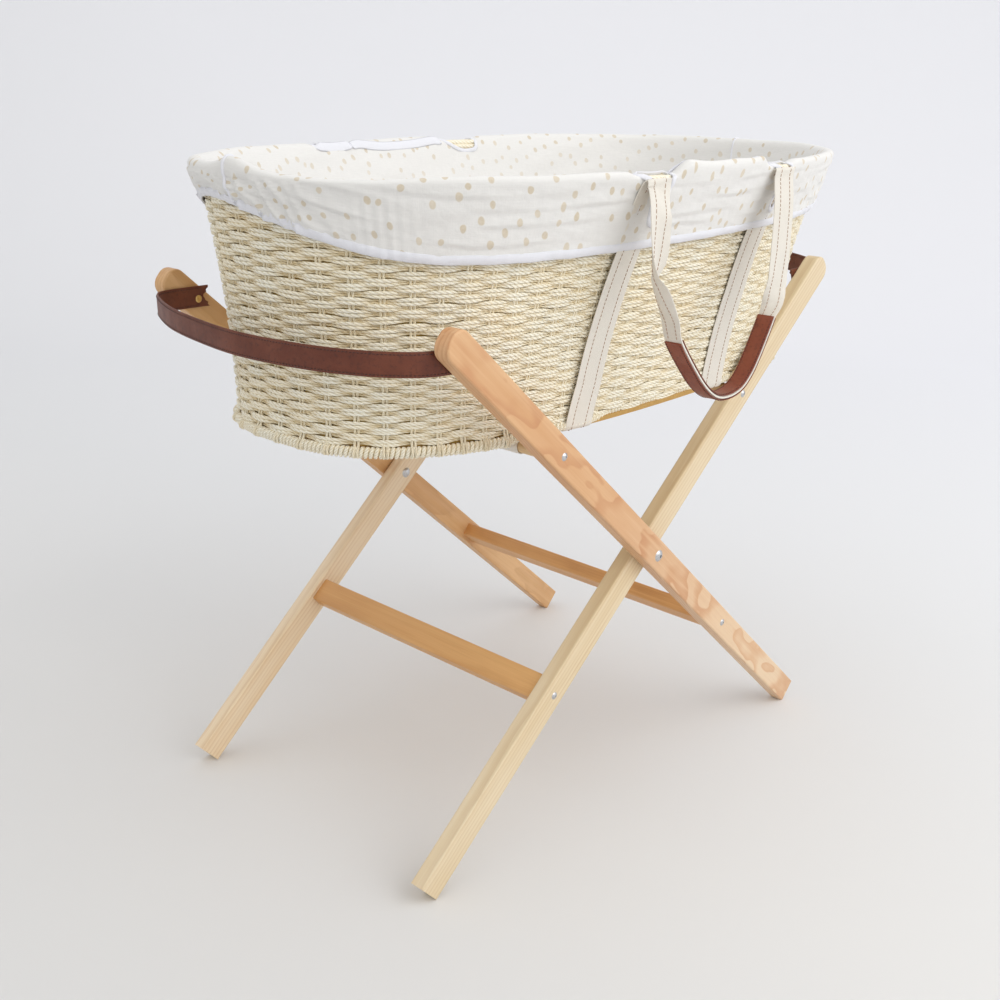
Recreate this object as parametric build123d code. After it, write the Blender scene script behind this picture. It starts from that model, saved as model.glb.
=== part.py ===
"""Bassinet on a folding stand: a woven oval basket, lined and padded, that rests on two crossed
wooden frames. Millimetres, +Z up, +X along the basket, the floor at z = 0.

Four bodies move: the inner frame folds about the pivot bolts, the basket lifts off the stand, and
the two carrying handles swing up. Every sub-part is one STEP file in parts/.
"""
from build123d import *
from math import cos, sin, radians, pi
import os

# ---------------------------------------------------------------- stand
STAND_X = -17.0            # the pivot's place along X; the basket sits a little to its right
LEG_WIDTH = 32.0
LEG_THICK = 19.0
LEG_BELOW = 453.0          # leg length below the pivot
LEG_ABOVE = 442.0          # leg length above the pivot
LEG_ANGLE = 48.75          # of each leg from the vertical, stand open
LEG_TOP_RADIUS = 13.5
LEG_EDGE_RADIUS = 2.3
STAND_HALF_WIDTH = 230.0   # outer face of the outer legs
LEG_GAP = 1.0              # between outer and inner leg, filled by a washer

RAIL_ALONG = -199.0        # lower rail, measured along the leg from the pivot
RAIL_WIDTH = 31.0
RAIL_THICK = 19.0
DOWEL_ALONG = 232.5        # upper dowel, which carries the basket
DOWEL_RADIUS = 8.0
LEFT_RIVET = (396.0, -3.0)     # end-strap rivet: along the leg, and off its middle line
RIGHT_RIVET = (404.0, -9.0)

PIVOT_BORE = 4.05
SLEEVE_RADIUS = 4.0
BOLT_RADIUS = 3.0
PIVOT_HEAD_RADIUS = 6.8
PIVOT_HEAD_HEIGHT = 2.8
WASHER_RADIUS = 10.0
WASHER_THICK = 0.9
SCREW_RADIUS = 2.2
SCREW_BORE = 2.3
SCREW_HEAD_RADIUS = 4.3
SCREW_HEAD_HEIGHT = 1.8
SCREW_DEPTH = 32.0         # into the rail end
RIVET_HEAD_RADIUS = 4.2
RIVET_HEAD_HEIGHT = 1.8
RIVET_RADIUS = 1.6
RIVET_BORE = 1.7
RIVET_DEPTH = 13.0         # into the leg

PIVOT_Z = LEG_BELOW * cos(radians(LEG_ANGLE)) + LEG_WIDTH / 2 * sin(radians(LEG_ANGLE))
OUTER_INSIDE = STAND_HALF_WIDTH - LEG_THICK          # inner face of the outer legs
INNER_OUTSIDE = OUTER_INSIDE - LEG_GAP
INNER_INSIDE = INNER_OUTSIDE - LEG_THICK             # inner face of the inner legs

# ---------------------------------------------------------------- leather end straps
LEFT_STRAP_Z = 576.5
RIGHT_STRAP_Z = 583.5
END_STRAP_WIDTH = 23.0
END_STRAP_THICK = 3.0
LEFT_STRAP_TIP = 282.0     # where the strap end lies on the leg, from the pivot
RIGHT_STRAP_TIP = 286.0
END_STRAP_CORNER = 25.0    # radius where the strap leaves the leg
LEFT_STRAP_REACH = 410.0   # furthest the strap's middle line stands out from the pivot
LEFT_STRAP_TURN = 27.0     # half the angle of its long arc
RIGHT_STRAP_REACH = 444.0
RIGHT_STRAP_TURN = 48.0

# ---------------------------------------------------------------- spreader webbing
SPREADER_Y = 149.0
SPREADER_WIDTH = 50.0
SPREADER_THICK = 1.5
SPREADER_GAP = 0.1         # between the webbing loop and the dowel in it

# ---------------------------------------------------------------- basket
BASKET_X = 16.0
BASKET_Y = -4.0
BASKET_YAW = 2.0           # a loose basket, set down a little askew
BASKET_Z = 474.0           # underside of the carrying straps, just above the spreader webbing
BASE_HALF_LENGTH = 397.5
BASE_HALF_WIDTH = 193.0
FLARE_LENGTH = 18.0        # how much each half grows from base to rim
FLARE_WIDTH = 67.0
FLARE_POWER = 1.8
BASE_SQUARENESS = 2.73     # superellipse exponent of the plan at the base and at the rim
RIM_SQUARENESS = 2.45
FLARE_FROM_Z = 474.0
FLARE_TO_Z = 730.0
PLAN_POINTS = 32
WALL_THICK = 10.0
CARRY_THICK = 1.5
BOARD_THICK = 5.0
FOOT_BORDER_HEIGHT = 8.0
WALL_TOP_Z = 714.0
RIM_BORDER_TOP_Z = 726.0
RIM_BORDER_PROUD = 1.3

LINER_THICK = 1.6
LINER_GAP = 0.4            # between the lining and the basket wall
FLAP_GAP = 2.2             # room under the flap for the carrying straps
FLAP_HEM_Z = 655.0         # hem height at the middle of the basket
FLAP_TILT = 0.015          # the flap hangs a little lower towards the left
FLAP_END_RISE = 39.5       # how much higher the hem runs FLAP_END_X from the middle
FLAP_END_X = 408.0
FLAP_END_POWER = 6.5
FLAP_TURN = 0.13           # at the left end the hem climbs towards the far side
FLAP_LOW_Z = FLAP_HEM_Z - 8.0
LINER_TOP_Z = 730.0
HEM_WIDTH = 8.5
HEM_PROUD = 0.7
MATTRESS_THICK = 38.0
MATTRESS_GAP = 1.5

# ---------------------------------------------------------------- carrying straps and handles
CARRY_X = -13.5            # middle of the pair of straps, from the basket's middle
CARRY_HALF_SPACING = 112.5
CARRY_SKEW = -5.8          # the straps cross the board a little askew, turned about +Z
HANDLE_NEAR_X = -27.0      # middle of each handle
HANDLE_FAR_X = 10.0
HANDLE_HALF_SPACING = 108.0
CARRY_WIDTH = 38.0
CARRY_TOP_Z = 712.0
HANDLE_Y = 266.0           # plane that a handle hangs in, from the basket's middle
HANDLE_TOP_Z = 725.5
HANDLE_LOW_Z = 497.0
WEBBING_THICK = 2.0
GRIP_WIDTH = 21.0
GRIP_THICK = 6.4
GRIP_CORE_WIDTH = 17.0
GRIP_CORE_THICK = 2.6
GRIP_TOP_Z = 570.0
GRIP_HALF_SPAN = 87.0
GRIP_X = 4.5               # middle of the grip, from the middle of its handle
GRIP_LOW_X = 14.0          # the loop hangs lowest a little to the right of that

BOARD_Z = BASKET_Z + CARRY_THICK
BORDER_Z = BOARD_Z + BOARD_THICK
WALL_Z = BORDER_Z + FOOT_BORDER_HEIGHT
LINING_Z = BORDER_Z + 0.3
MATTRESS_Z = LINING_Z + LINER_THICK + 0.3


def export(node, shape):
    export_step(shape, f"parts/{node}.step")


def group(solids):
    return Compound(children=list(solids))


# ================================================================ stand
def on_leg(shape, lean):
    """Put a shape drawn upright at the pivot onto a leg that leans by lean degrees towards +X."""
    return Pos(STAND_X, 0, PIVOT_Z) * Rot(0, lean, 0) * shape


def rod_y(radius, y0, y1, along=0.0, off=0.0):
    """A round rod along Y, placed along the upright leg's axis and off to one side of it."""
    return Pos(off, (y0 + y1) / 2, along) * Rot(90, 0, 0) * Cylinder(radius, abs(y1 - y0))


def dome_y(radius, height, y, side, along=0.0, off=0.0):
    """A domed head whose flat face lies at y, bulging towards side (+1 or -1)."""
    ball = (radius ** 2 + height ** 2) / (2 * height)
    sphere = Pos(off, y + side * (height - ball), along) * Sphere(ball)
    keep = Pos(off, y + side * ball, along) * Box(2 * ball, 2 * ball, 2 * ball)
    return sphere & keep


def leg(y_low, inner_face, rivet):
    """One upright leg between y_low and y_low + LEG_THICK, with its bores."""
    half = LEG_WIDTH / 2
    with BuildSketch(Plane.XZ) as outline:
        with BuildLine():
            Polyline(
                (-half, -LEG_BELOW), (half, -LEG_BELOW), (half, LEG_ABOVE),
                (-half, LEG_ABOVE), close=True,
            )
        make_face()
        fillet(outline.vertices().group_by(Axis.Y)[-1], LEG_TOP_RADIUS)
    body = Pos(0, y_low + LEG_THICK, 0) * extrude(outline.sketch, LEG_THICK)
    rims = [edge for face in body.faces().filter_by(Axis.Y) for edge in face.edges()]
    body = fillet([edge for edge in rims if edge.center().Z > 1 - LEG_BELOW], LEG_EDGE_RADIUS)
    y_high = y_low + LEG_THICK
    body -= rod_y(PIVOT_BORE, y_low - 1, y_high + 1)
    body -= rod_y(SCREW_BORE, y_low - 1, y_high + 1, RAIL_ALONG)
    body -= rod_y(SCREW_BORE, y_low - 1, y_high + 1, DOWEL_ALONG)
    deep = inner_face + (RIVET_DEPTH if inner_face > 0 else -RIVET_DEPTH)
    body -= rod_y(RIVET_BORE, inner_face, deep, *rivet)
    return body


def cross_rail(inside):
    """Lower rail between the two inner faces at +-inside, its ends bored for the screws."""
    rail = Pos(0, 0, RAIL_ALONG) * Box(RAIL_THICK, 2 * inside, RAIL_WIDTH)
    rail = fillet(rail.edges().filter_by(Axis.Y), LEG_EDGE_RADIUS)
    for side in (-1, 1):
        rail -= rod_y(SCREW_BORE, side * (inside - SCREW_DEPTH), side * (inside + 1), RAIL_ALONG)
    return rail


def dowel(inside):
    """Upper dowel between the two inner faces at +-inside, its ends bored for the screws."""
    rod = rod_y(DOWEL_RADIUS, -inside, inside, DOWEL_ALONG)
    for side in (-1, 1):
        rod -= rod_y(SCREW_BORE, side * (inside - SCREW_DEPTH), side * (inside + 1), DOWEL_ALONG)
    return rod


def rail_screws(inside):
    """Four screws, from outside the legs into the ends of the rail and the dowel."""
    outside = inside + LEG_THICK
    screws = []
    for along in (RAIL_ALONG, DOWEL_ALONG):
        for side in (-1, 1):
            shank = rod_y(SCREW_RADIUS, side * (inside - SCREW_DEPTH + 2), side * outside, along)
            head = dome_y(SCREW_HEAD_RADIUS, SCREW_HEAD_HEIGHT, side * outside, side, along)
            socket = Pos(0, side * (outside + SCREW_HEAD_HEIGHT), along) * Rot(90, 0, 0) * Cylinder(1.3, 1.6)
            screws.append(shank + head - socket)
    return screws


def strap_rivets(inside, rivet):
    """Two rivets that hold a leather strap to the legs' inner faces."""
    rivets = []
    for side in (-1, 1):
        face = inside - END_STRAP_THICK
        head = dome_y(RIVET_HEAD_RADIUS, RIVET_HEAD_HEIGHT, side * face, -side, *rivet)
        tip = inside + RIVET_DEPTH - 1
        shank = rod_y(RIVET_RADIUS, side * face, side * tip, *rivet)
        rivets.append(head + shank)
    return rivets


def pivot_hardware():
    """Bolts, sleeve nuts and washers of the two pivots, drawn upright at the pivot."""
    bolts, sleeves, washers = [], [], []
    for side in (-1, 1):
        outer, inner = side * STAND_HALF_WIDTH, side * INNER_INSIDE
        head = dome_y(PIVOT_HEAD_RADIUS, PIVOT_HEAD_HEIGHT, outer, side)
        socket = Pos(0, outer + side * PIVOT_HEAD_HEIGHT, 0) * Rot(90, 0, 0)
        socket *= extrude(RegularPolygon(2.0, 6), 1.8, both=True)
        bolts.append(head + rod_y(BOLT_RADIUS, outer, inner + side * 3) - socket)
        nut = dome_y(PIVOT_HEAD_RADIUS, PIVOT_HEAD_HEIGHT, inner - side * 0.1, -side)
        nut += rod_y(SLEEVE_RADIUS, inner - side * 0.1, outer - side * 2)
        sleeves.append(nut - rod_y(BOLT_RADIUS + 0.05, inner + side * 2, outer))
        middle = side * (OUTER_INSIDE - LEG_GAP / 2)
        ring = rod_y(WASHER_RADIUS, middle - WASHER_THICK / 2, middle + WASHER_THICK / 2)
        washers.append(ring - rod_y(PIVOT_BORE + 0.1, middle - 1, middle + 1))
    return bolts, sleeves, washers


def end_strap(inside, reach, turn, tip, z, rivet, direction):
    """Leather strap that joins the tops of one frame's legs, bowed out round the basket's end.
    direction is -1 at the left end and +1 at the right."""
    face = inside - END_STRAP_THICK / 2
    t = radians(turn)
    long_radius = (face - END_STRAP_CORNER) / sin(t) + END_STRAP_CORNER
    corner_x = reach - long_radius + (long_radius - END_STRAP_CORNER) * cos(t)
    join = (corner_x + END_STRAP_CORNER * cos(t), face - END_STRAP_CORNER * (1 - sin(t)))
    half_turn = (90 - turn) / 2
    knee = (
        corner_x + END_STRAP_CORNER * sin(radians(half_turn)),
        face - END_STRAP_CORNER * (1 - cos(radians(half_turn))),
    )
    d = direction
    with BuildLine() as path:
        Line((d * tip, face), (d * corner_x, face))
        ThreePointArc((d * corner_x, face), (d * knee[0], knee[1]), (d * join[0], join[1]))
        ThreePointArc((d * join[0], join[1]), (d * reach, 0), (d * join[0], -join[1]))
        ThreePointArc((d * join[0], -join[1]), (d * knee[0], -knee[1]), (d * corner_x, -face))
        Line((d * corner_x, -face), (d * tip, -face))
    start = Plane(origin=(d * tip, face, 0), x_dir=(0, 1, 0), z_dir=(d, 0, 0))
    band = sweep(start * Rectangle(END_STRAP_THICK, END_STRAP_WIDTH), path=path.line)
    band = Pos(STAND_X, 0, z) * band
    for side in (-1, 1):
        hole = rod_y(RIVET_BORE, side * (face - 4), side * (face + 4), *rivet)
        band -= on_leg(hole, d * LEG_ANGLE)
    return band


def spreader(y):
    """Webbing looped round both dowels, which keeps the stand from opening further."""
    lean = radians(LEG_ANGLE)
    half = DOWEL_ALONG * sin(lean)
    z = PIVOT_Z + DOWEL_ALONG * cos(lean)
    inner = DOWEL_RADIUS + SPREADER_GAP
    outer = inner + SPREADER_THICK
    band = Pos(0, 0, inner + SPREADER_THICK / 2) * Box(2 * half, SPREADER_WIDTH, SPREADER_THICK)
    for side in (-1, 1):
        band += Pos(side * half, 0, 0) * Rot(90, 0, 0) * Cylinder(outer, SPREADER_WIDTH)
    for side in (-1, 1):
        band -= Pos(side * half, 0, 0) * Rot(90, 0, 0) * Cylinder(inner, SPREADER_WIDTH + 2)
    return Pos(STAND_X, y, z) * band


def build_stand():
    outer_lean, inner_lean = -LEG_ANGLE, LEG_ANGLE
    left_rivet = (LEFT_RIVET[0], -LEFT_RIVET[1])
    export("leg_outer_near", on_leg(leg(-STAND_HALF_WIDTH, -OUTER_INSIDE, left_rivet), outer_lean))
    export("leg_outer_far", on_leg(leg(OUTER_INSIDE, OUTER_INSIDE, left_rivet), outer_lean))
    export("leg_inner_near", on_leg(leg(-INNER_OUTSIDE, -INNER_INSIDE, RIGHT_RIVET), inner_lean))
    export("leg_inner_far", on_leg(leg(INNER_INSIDE, INNER_INSIDE, RIGHT_RIVET), inner_lean))
    frames = (
        ("outer", OUTER_INSIDE, outer_lean, "left", left_rivet),
        ("inner", INNER_INSIDE, inner_lean, "right", RIGHT_RIVET),
    )
    for name, inside, lean, end, rivet in frames:
        export(f"lower_rail_{name}", on_leg(cross_rail(inside), lean))
        export(f"upper_dowel_{name}", on_leg(dowel(inside), lean))
        export(f"rail_screws_{name}", group(on_leg(s, lean) for s in rail_screws(inside)))
        export(f"strap_rivets_{end}", group(on_leg(r, lean) for r in strap_rivets(inside, rivet)))
    bolts, sleeves, washers = pivot_hardware()
    export("pivot_bolts", group(on_leg(b, 0) for b in bolts))
    export("pivot_sleeves", group(on_leg(s, 0) for s in sleeves))
    export("pivot_washers", group(on_leg(w, 0) for w in washers))
    left = (OUTER_INSIDE, LEFT_STRAP_REACH, LEFT_STRAP_TURN, LEFT_STRAP_TIP, LEFT_STRAP_Z, left_rivet)
    right = (INNER_INSIDE, RIGHT_STRAP_REACH, RIGHT_STRAP_TURN, RIGHT_STRAP_TIP, RIGHT_STRAP_Z, RIGHT_RIVET)
    export("end_strap_left", end_strap(*left, direction=-1))
    export("end_strap_right", end_strap(*right, direction=1))
    export("spreader_near", spreader(-SPREADER_Y))
    export("spreader_far", spreader(SPREADER_Y))


# ================================================================ basket
def placed(shape):
    """Put a shape drawn round the basket's own middle onto the stand."""
    return Pos(BASKET_X, BASKET_Y, 0) * Rot(0, 0, BASKET_YAW) * shape


def plan(z, offset):
    """The basket's outline at height z, grown by offset: half length, half width, exponent."""
    rise = max(0.0, (z - FLARE_FROM_Z) / (FLARE_TO_Z - FLARE_FROM_Z))
    flare = rise ** FLARE_POWER
    length = BASE_HALF_LENGTH + FLARE_LENGTH * flare + offset
    width = BASE_HALF_WIDTH + FLARE_WIDTH * flare + offset
    return length, width, BASE_SQUARENESS + (RIM_SQUARENESS - BASE_SQUARENESS) * rise


def section(z, offset):
    length, width, power = plan(z, offset)
    points = []
    for i in range(PLAN_POINTS):
        c, s = cos(2 * pi * (i + 0.5) / PLAN_POINTS), sin(2 * pi * (i + 0.5) / PLAN_POINTS)
        x = length * abs(c) ** (2 / power) * (1 if c > 0 else -1)
        y = width * abs(s) ** (2 / power) * (1 if s > 0 else -1)
        points.append((x, y, z))
    return make_face(Spline(*points, periodic=True))


def oval_body(z0, z1, offset, sections=5):
    """Solid that follows the basket's flare between two heights."""
    heights = [z0 + (z1 - z0) * i / (sections - 1) for i in range(sections)]
    return loft([section(z, offset) for z in heights])


def oval_ring(z0, z1, outer, inner, sections=5):
    return oval_body(z0, z1, outer, sections) - oval_body(z0 - 1, z1 + 1, inner, sections)


def hem_z(x, y):
    """Height of the flap's hem at the place x, y from the basket's middle."""
    end = abs(x) / FLAP_END_X
    turn = FLAP_TURN * y * end ** 6 if x < 0 else 0.0
    return FLAP_HEM_Z + FLAP_TILT * x + FLAP_END_RISE * end ** FLAP_END_POWER + turn


def below_hem(low_z, shift=0.0):
    """Everything below the hem line moved by shift, down to low_z."""
    reach, half = 430, 320
    sides = []
    for y in (-half, half):
        line = [(x, y, hem_z(x, y) + shift) for x in range(-reach, reach + 1, 43)]
        top = Spline(*line)
        rest = Polyline(line[-1], (reach, y, low_z), (-reach, y, low_z), line[0])
        sides.append(make_face(Wire([top, *rest.edges()])))
    return loft(sides, ruled=True)


def liner_bag():
    """The lining: side cloth and bottom cloth inside the basket, its top edge at the rim seam."""
    inner = -WALL_THICK - LINER_GAP
    hollow = oval_body(LINING_Z + LINER_THICK, LINER_TOP_Z + 5, inner - LINER_THICK, 5)
    return oval_body(LINING_Z, LINER_TOP_Z, inner, 5) - hollow


def liner_flap():
    """The turned-over part: from the rim seam across the rim and down outside to the hem."""
    top = RIM_BORDER_TOP_Z + 1
    seam = -WALL_THICK - LINER_GAP + 0.2
    skirt = oval_ring(FLAP_LOW_Z, top, FLAP_GAP + LINER_THICK, FLAP_GAP, 3)
    cover = oval_ring(top, LINER_TOP_Z, FLAP_GAP + LINER_THICK, seam, 3)
    return skirt + cover - below_hem(FLAP_LOW_Z - 10)


def hem():
    """Bound edge along the bottom of the flap, a little thicker than the cloth."""
    outer = FLAP_GAP + LINER_THICK + HEM_PROUD
    band = oval_ring(FLAP_LOW_Z - HEM_WIDTH - 2, LINER_TOP_Z, outer, FLAP_GAP - 0.1, 4)
    return band & (below_hem(FLAP_LOW_Z - 40, -0.1) - below_hem(FLAP_LOW_Z - 60, -HEM_WIDTH))


def carry_strap(x):
    """Webbing that runs up both sides of the basket and across under its board."""
    slab = Pos(x, 0, (BASKET_Z + CARRY_TOP_Z) / 2) * Rot(0, 0, CARRY_SKEW)
    slab *= Box(CARRY_WIDTH, 4 * BASE_HALF_WIDTH, CARRY_TOP_Z - BASKET_Z)
    outer = oval_body(BASKET_Z, CARRY_TOP_Z + 1, 0.2 + CARRY_THICK, 5)
    inner = oval_body(BOARD_Z, CARRY_TOP_Z + 2, 0.2, 5)
    return (outer - inner) & slab


def grip_curve(inset):
    """Centre line of a hanging grip, moved inwards by inset, as a list of X, Z points."""
    half = GRIP_HALF_SPAN - inset
    low = HANDLE_LOW_Z + inset
    return [
        (GRIP_X - half, GRIP_TOP_Z),
        (GRIP_X - 0.62 * half, low + 0.46 * (GRIP_TOP_Z - low)),
        (GRIP_LOW_X, low),
        (GRIP_X + 0.68 * half, low + 0.40 * (GRIP_TOP_Z - low)),
        (GRIP_X + half, GRIP_TOP_Z),
    ]


def grip_band(thick, width):
    """A U-shaped band of the given thickness, hanging, width across Y."""
    outside, inside = grip_curve(-thick / 2), grip_curve(thick / 2)
    with BuildSketch(Plane.XZ) as band:
        with BuildLine():
            Spline(*outside)
            Line(outside[-1], inside[-1])
            Spline(*inside[::-1])
            Line(inside[0], outside[0])
        make_face()
    return extrude(band.sketch, width / 2, both=True)


def handle_webbing():
    """The loop's two flat legs, and the folded webbing inside the grip."""
    loop = grip_band(GRIP_CORE_THICK, GRIP_CORE_WIDTH)
    half = CARRY_WIDTH / 2
    for side in (-1, 1):
        top_x = side * HANDLE_HALF_SPACING
        grip_x = GRIP_X + side * GRIP_HALF_SPAN
        with BuildSketch(Plane.XZ) as leg_face:
            with BuildLine():
                Polyline(
                    (top_x - half, HANDLE_TOP_Z), (top_x + half, HANDLE_TOP_Z),
                    (grip_x + 12, GRIP_TOP_Z + 25), (grip_x + 1, GRIP_TOP_Z - 0.5),
                    (grip_x - 1, GRIP_TOP_Z - 0.5), (grip_x - 12, GRIP_TOP_Z + 25), close=True,
                )
            make_face()
        loop += extrude(leg_face.sketch, WEBBING_THICK / 2, both=True)
    return loop


def build_basket():
    export("base_board", placed(oval_body(BOARD_Z, BORDER_Z, -2.0, 3)))
    export("foot_border", placed(oval_ring(BORDER_Z, WALL_Z, 0.0, -WALL_THICK, 3)))
    export("basket_wall", placed(oval_ring(WALL_Z, WALL_TOP_Z, 0.0, -WALL_THICK, 6)))
    border = oval_ring(WALL_TOP_Z, RIM_BORDER_TOP_Z, RIM_BORDER_PROUD, -WALL_THICK, 3)
    export("rim_border", placed(border))
    export("liner_bag", placed(liner_bag()))
    export("liner_flap", placed(liner_flap()))
    export("liner_hem", placed(hem()))
    mattress_offset = -WALL_THICK - LINER_GAP - LINER_THICK - MATTRESS_GAP
    mattress = oval_body(MATTRESS_Z, MATTRESS_Z + MATTRESS_THICK, mattress_offset, 3)
    export("mattress", placed(mattress))
    for name, side in (("left", -1), ("right", 1)):
        export(f"carry_strap_{name}", placed(carry_strap(CARRY_X + side * CARRY_HALF_SPACING)))
    grip = grip_band(GRIP_THICK, GRIP_WIDTH) - grip_band(GRIP_CORE_THICK + 0.2, GRIP_CORE_WIDTH + 0.2)
    for name, side, middle in (("near", -1, HANDLE_NEAR_X), ("far", 1, HANDLE_FAR_X)):
        centre = Pos(middle, side * HANDLE_Y, 0)
        export(f"handle_webbing_{name}", placed(centre * handle_webbing()))
        export(f"handle_grip_{name}", placed(centre * grip))


os.makedirs("parts", exist_ok=True)
build_stand()
build_basket()
print("pivot z", round(PIVOT_Z, 3), "dowel z", round(PIVOT_Z + DOWEL_ALONG * cos(radians(LEG_ANGLE)), 3))
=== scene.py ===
"""Looks of the bassinet on its folding stand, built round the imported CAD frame. Metres, +Z up."""

import collections
import functools
import itertools
import math

import bpy
import numpy as np
from mathutils import Euler, Matrix, Vector


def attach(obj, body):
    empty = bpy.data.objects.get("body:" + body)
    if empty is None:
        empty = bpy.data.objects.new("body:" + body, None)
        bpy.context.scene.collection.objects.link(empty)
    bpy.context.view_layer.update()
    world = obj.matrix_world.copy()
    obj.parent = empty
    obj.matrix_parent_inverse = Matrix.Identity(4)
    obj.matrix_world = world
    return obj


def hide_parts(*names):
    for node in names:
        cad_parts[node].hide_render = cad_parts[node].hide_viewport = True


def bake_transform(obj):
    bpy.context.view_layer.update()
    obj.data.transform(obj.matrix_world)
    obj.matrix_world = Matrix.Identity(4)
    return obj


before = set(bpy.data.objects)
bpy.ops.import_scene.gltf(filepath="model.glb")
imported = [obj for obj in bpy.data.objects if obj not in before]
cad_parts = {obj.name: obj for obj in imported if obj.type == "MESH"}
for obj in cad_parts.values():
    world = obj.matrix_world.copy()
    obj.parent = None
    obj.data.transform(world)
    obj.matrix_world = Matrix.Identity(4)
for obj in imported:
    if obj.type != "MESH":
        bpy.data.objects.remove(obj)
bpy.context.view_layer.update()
rng = np.random.default_rng(7)
TAU = 2 * math.pi


def lengths(path):
    """Length along the path at each of its points."""
    return np.concatenate([[0], np.cumsum(np.linalg.norm(np.diff(path, axis=0), axis=1))])


def sample(values, arc, want):
    """Rows of values, known at lengths arc, at the wanted lengths."""
    return np.stack([np.interp(want, arc, column) for column in values.T], -1)


def ease(value, low, high):
    t = np.clip((value - low) / (high - low), 0, 1)
    return t * t * (3 - 2 * t)


# ---- the basket's form
YAW = math.radians(2.0)
BASKET_X, BASKET_Y = 0.016, -0.004
BASE_Z, RIM_Z = 0.474, 0.73
STAND_X = -0.017
LEAN = math.radians(48.75)
DOWEL_X, DOWEL_Z = 0.1748, 0.464
STAKES = 72
ROWS = 39
ROW_PITCH = 0.0059
FIRST_ROW_Z = 0.4846
# offsets are from the wall's outer face, outward positive
WEAVE_MIDDLE = -0.0044
BACKING_FACES = -0.0082, -0.0096
CORD_RADII = 0.00205, 0.00163
CORD_STEP = 0.00148
STAKE_RADIUS = 0.0015
ROPE_RADIUS = 0.0021
RIM_DIP = 0.0034
# the foot rope's height and offset where it sags, where it lies on the board, and where it is hidden
FOOT_LOW, FOOT_MID, FOOT_HID = (0.4747, -0.0025), (0.4798, -0.003), (0.4815, -0.0082)
UP = np.array([0, 0, 1.0])


def superellipse(z):
    """The outline at height z: points round the basket, in its own axes."""
    count = 4096
    rise = max(0.0, (z - BASE_Z) / (RIM_Z - BASE_Z))
    flare = rise ** 1.8
    a, b, n = 0.3975 + 0.018 * flare, 0.193 + 0.067 * flare, 2.73 - 0.28 * rise
    t = np.arange(count) / count * TAU
    c, s = np.cos(t), np.sin(t)
    return np.stack([a * np.sign(c) * np.abs(c) ** (2 / n), b * np.sign(s) * np.abs(s) ** (2 / n)], -1)


# the outline at each level of TABLE_Z, by equal shares of its length
TABLE_Z = np.linspace(0.465, 0.74, 34)
TABLE_N = 1024
table, table_len = [], []
for level in TABLE_Z:
    outline = superellipse(level)
    outline = np.vstack([outline, outline[:1]])
    arc = lengths(outline)
    table.append(sample(outline, arc, np.arange(TABLE_N) / TABLE_N * arc[-1]))
    table_len.append(arc[-1])
table = np.array(table)


def table_at(frac, z):
    """x and y where the wall stands at a share of the way round and a height."""
    f = (frac % 1.0) * TABLE_N
    i = f.astype(int) % TABLE_N
    j = (i + 1) % TABLE_N
    u = (f - np.floor(f))[..., None]
    h = np.clip((z - TABLE_Z[0]) / (TABLE_Z[1] - TABLE_Z[0]), 0, len(TABLE_Z) - 1.001)
    k = h.astype(int)
    w = (h - k)[..., None]
    low, high = (table[level, i] * (1 - u) + table[level, j] * u for level in (k, k + 1))
    return np.moveaxis(low * (1 - w) + high * w, -1, 0)


def local_wall(frac, z, off):
    """Points off metres outside the wall's outer face, in the basket's own axes, and their normals."""
    frac, z, off = np.broadcast_arrays(frac, z, off)
    x, y = table_at(frac, z)
    beside = 0.002
    dx, dy = table_at(frac + beside, z) - table_at(frac - beside, z)
    size = np.hypot(dx, dy)
    nx, ny = dy / size, -dx / size
    return x + nx * off, y + ny * off, nx, ny


def turned(x, y, z):
    """A direction in the basket's own axes, seen in the shared frame."""
    c, s = math.cos(YAW), math.sin(YAW)
    return np.stack([x * c - y * s, x * s + y * c, z], -1)


def to_world(x, y, z):
    return turned(x, y, z) + (BASKET_X, BASKET_Y, 0.0)


def wall(frac, z, off=0.0):
    x, y, _, _ = local_wall(frac, z, off)
    return to_world(x, y, np.broadcast_to(z, x.shape))


def wall_normal(frac, z):
    _, _, nx, ny = local_wall(frac, z, 0.0)
    return turned(nx, ny, np.zeros_like(nx))


def frac_at(x, side, z=0.66):
    """Share of the way round where the wall stands at x (basket axes) on side -1 near or +1 far."""
    f = np.linspace(0.01, 0.49, 2000) if side > 0 else np.linspace(0.51, 0.99, 2000)
    at = table_at(f, np.full(2000, z))[0]
    order = np.argsort(at)
    return float(np.interp(x, at[order], f[order]))


# ---- meshes
def placed(name, data):
    """A new object in the scene."""
    thing = bpy.data.objects.new(name, data)
    bpy.context.scene.collection.objects.link(thing)
    return thing


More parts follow.
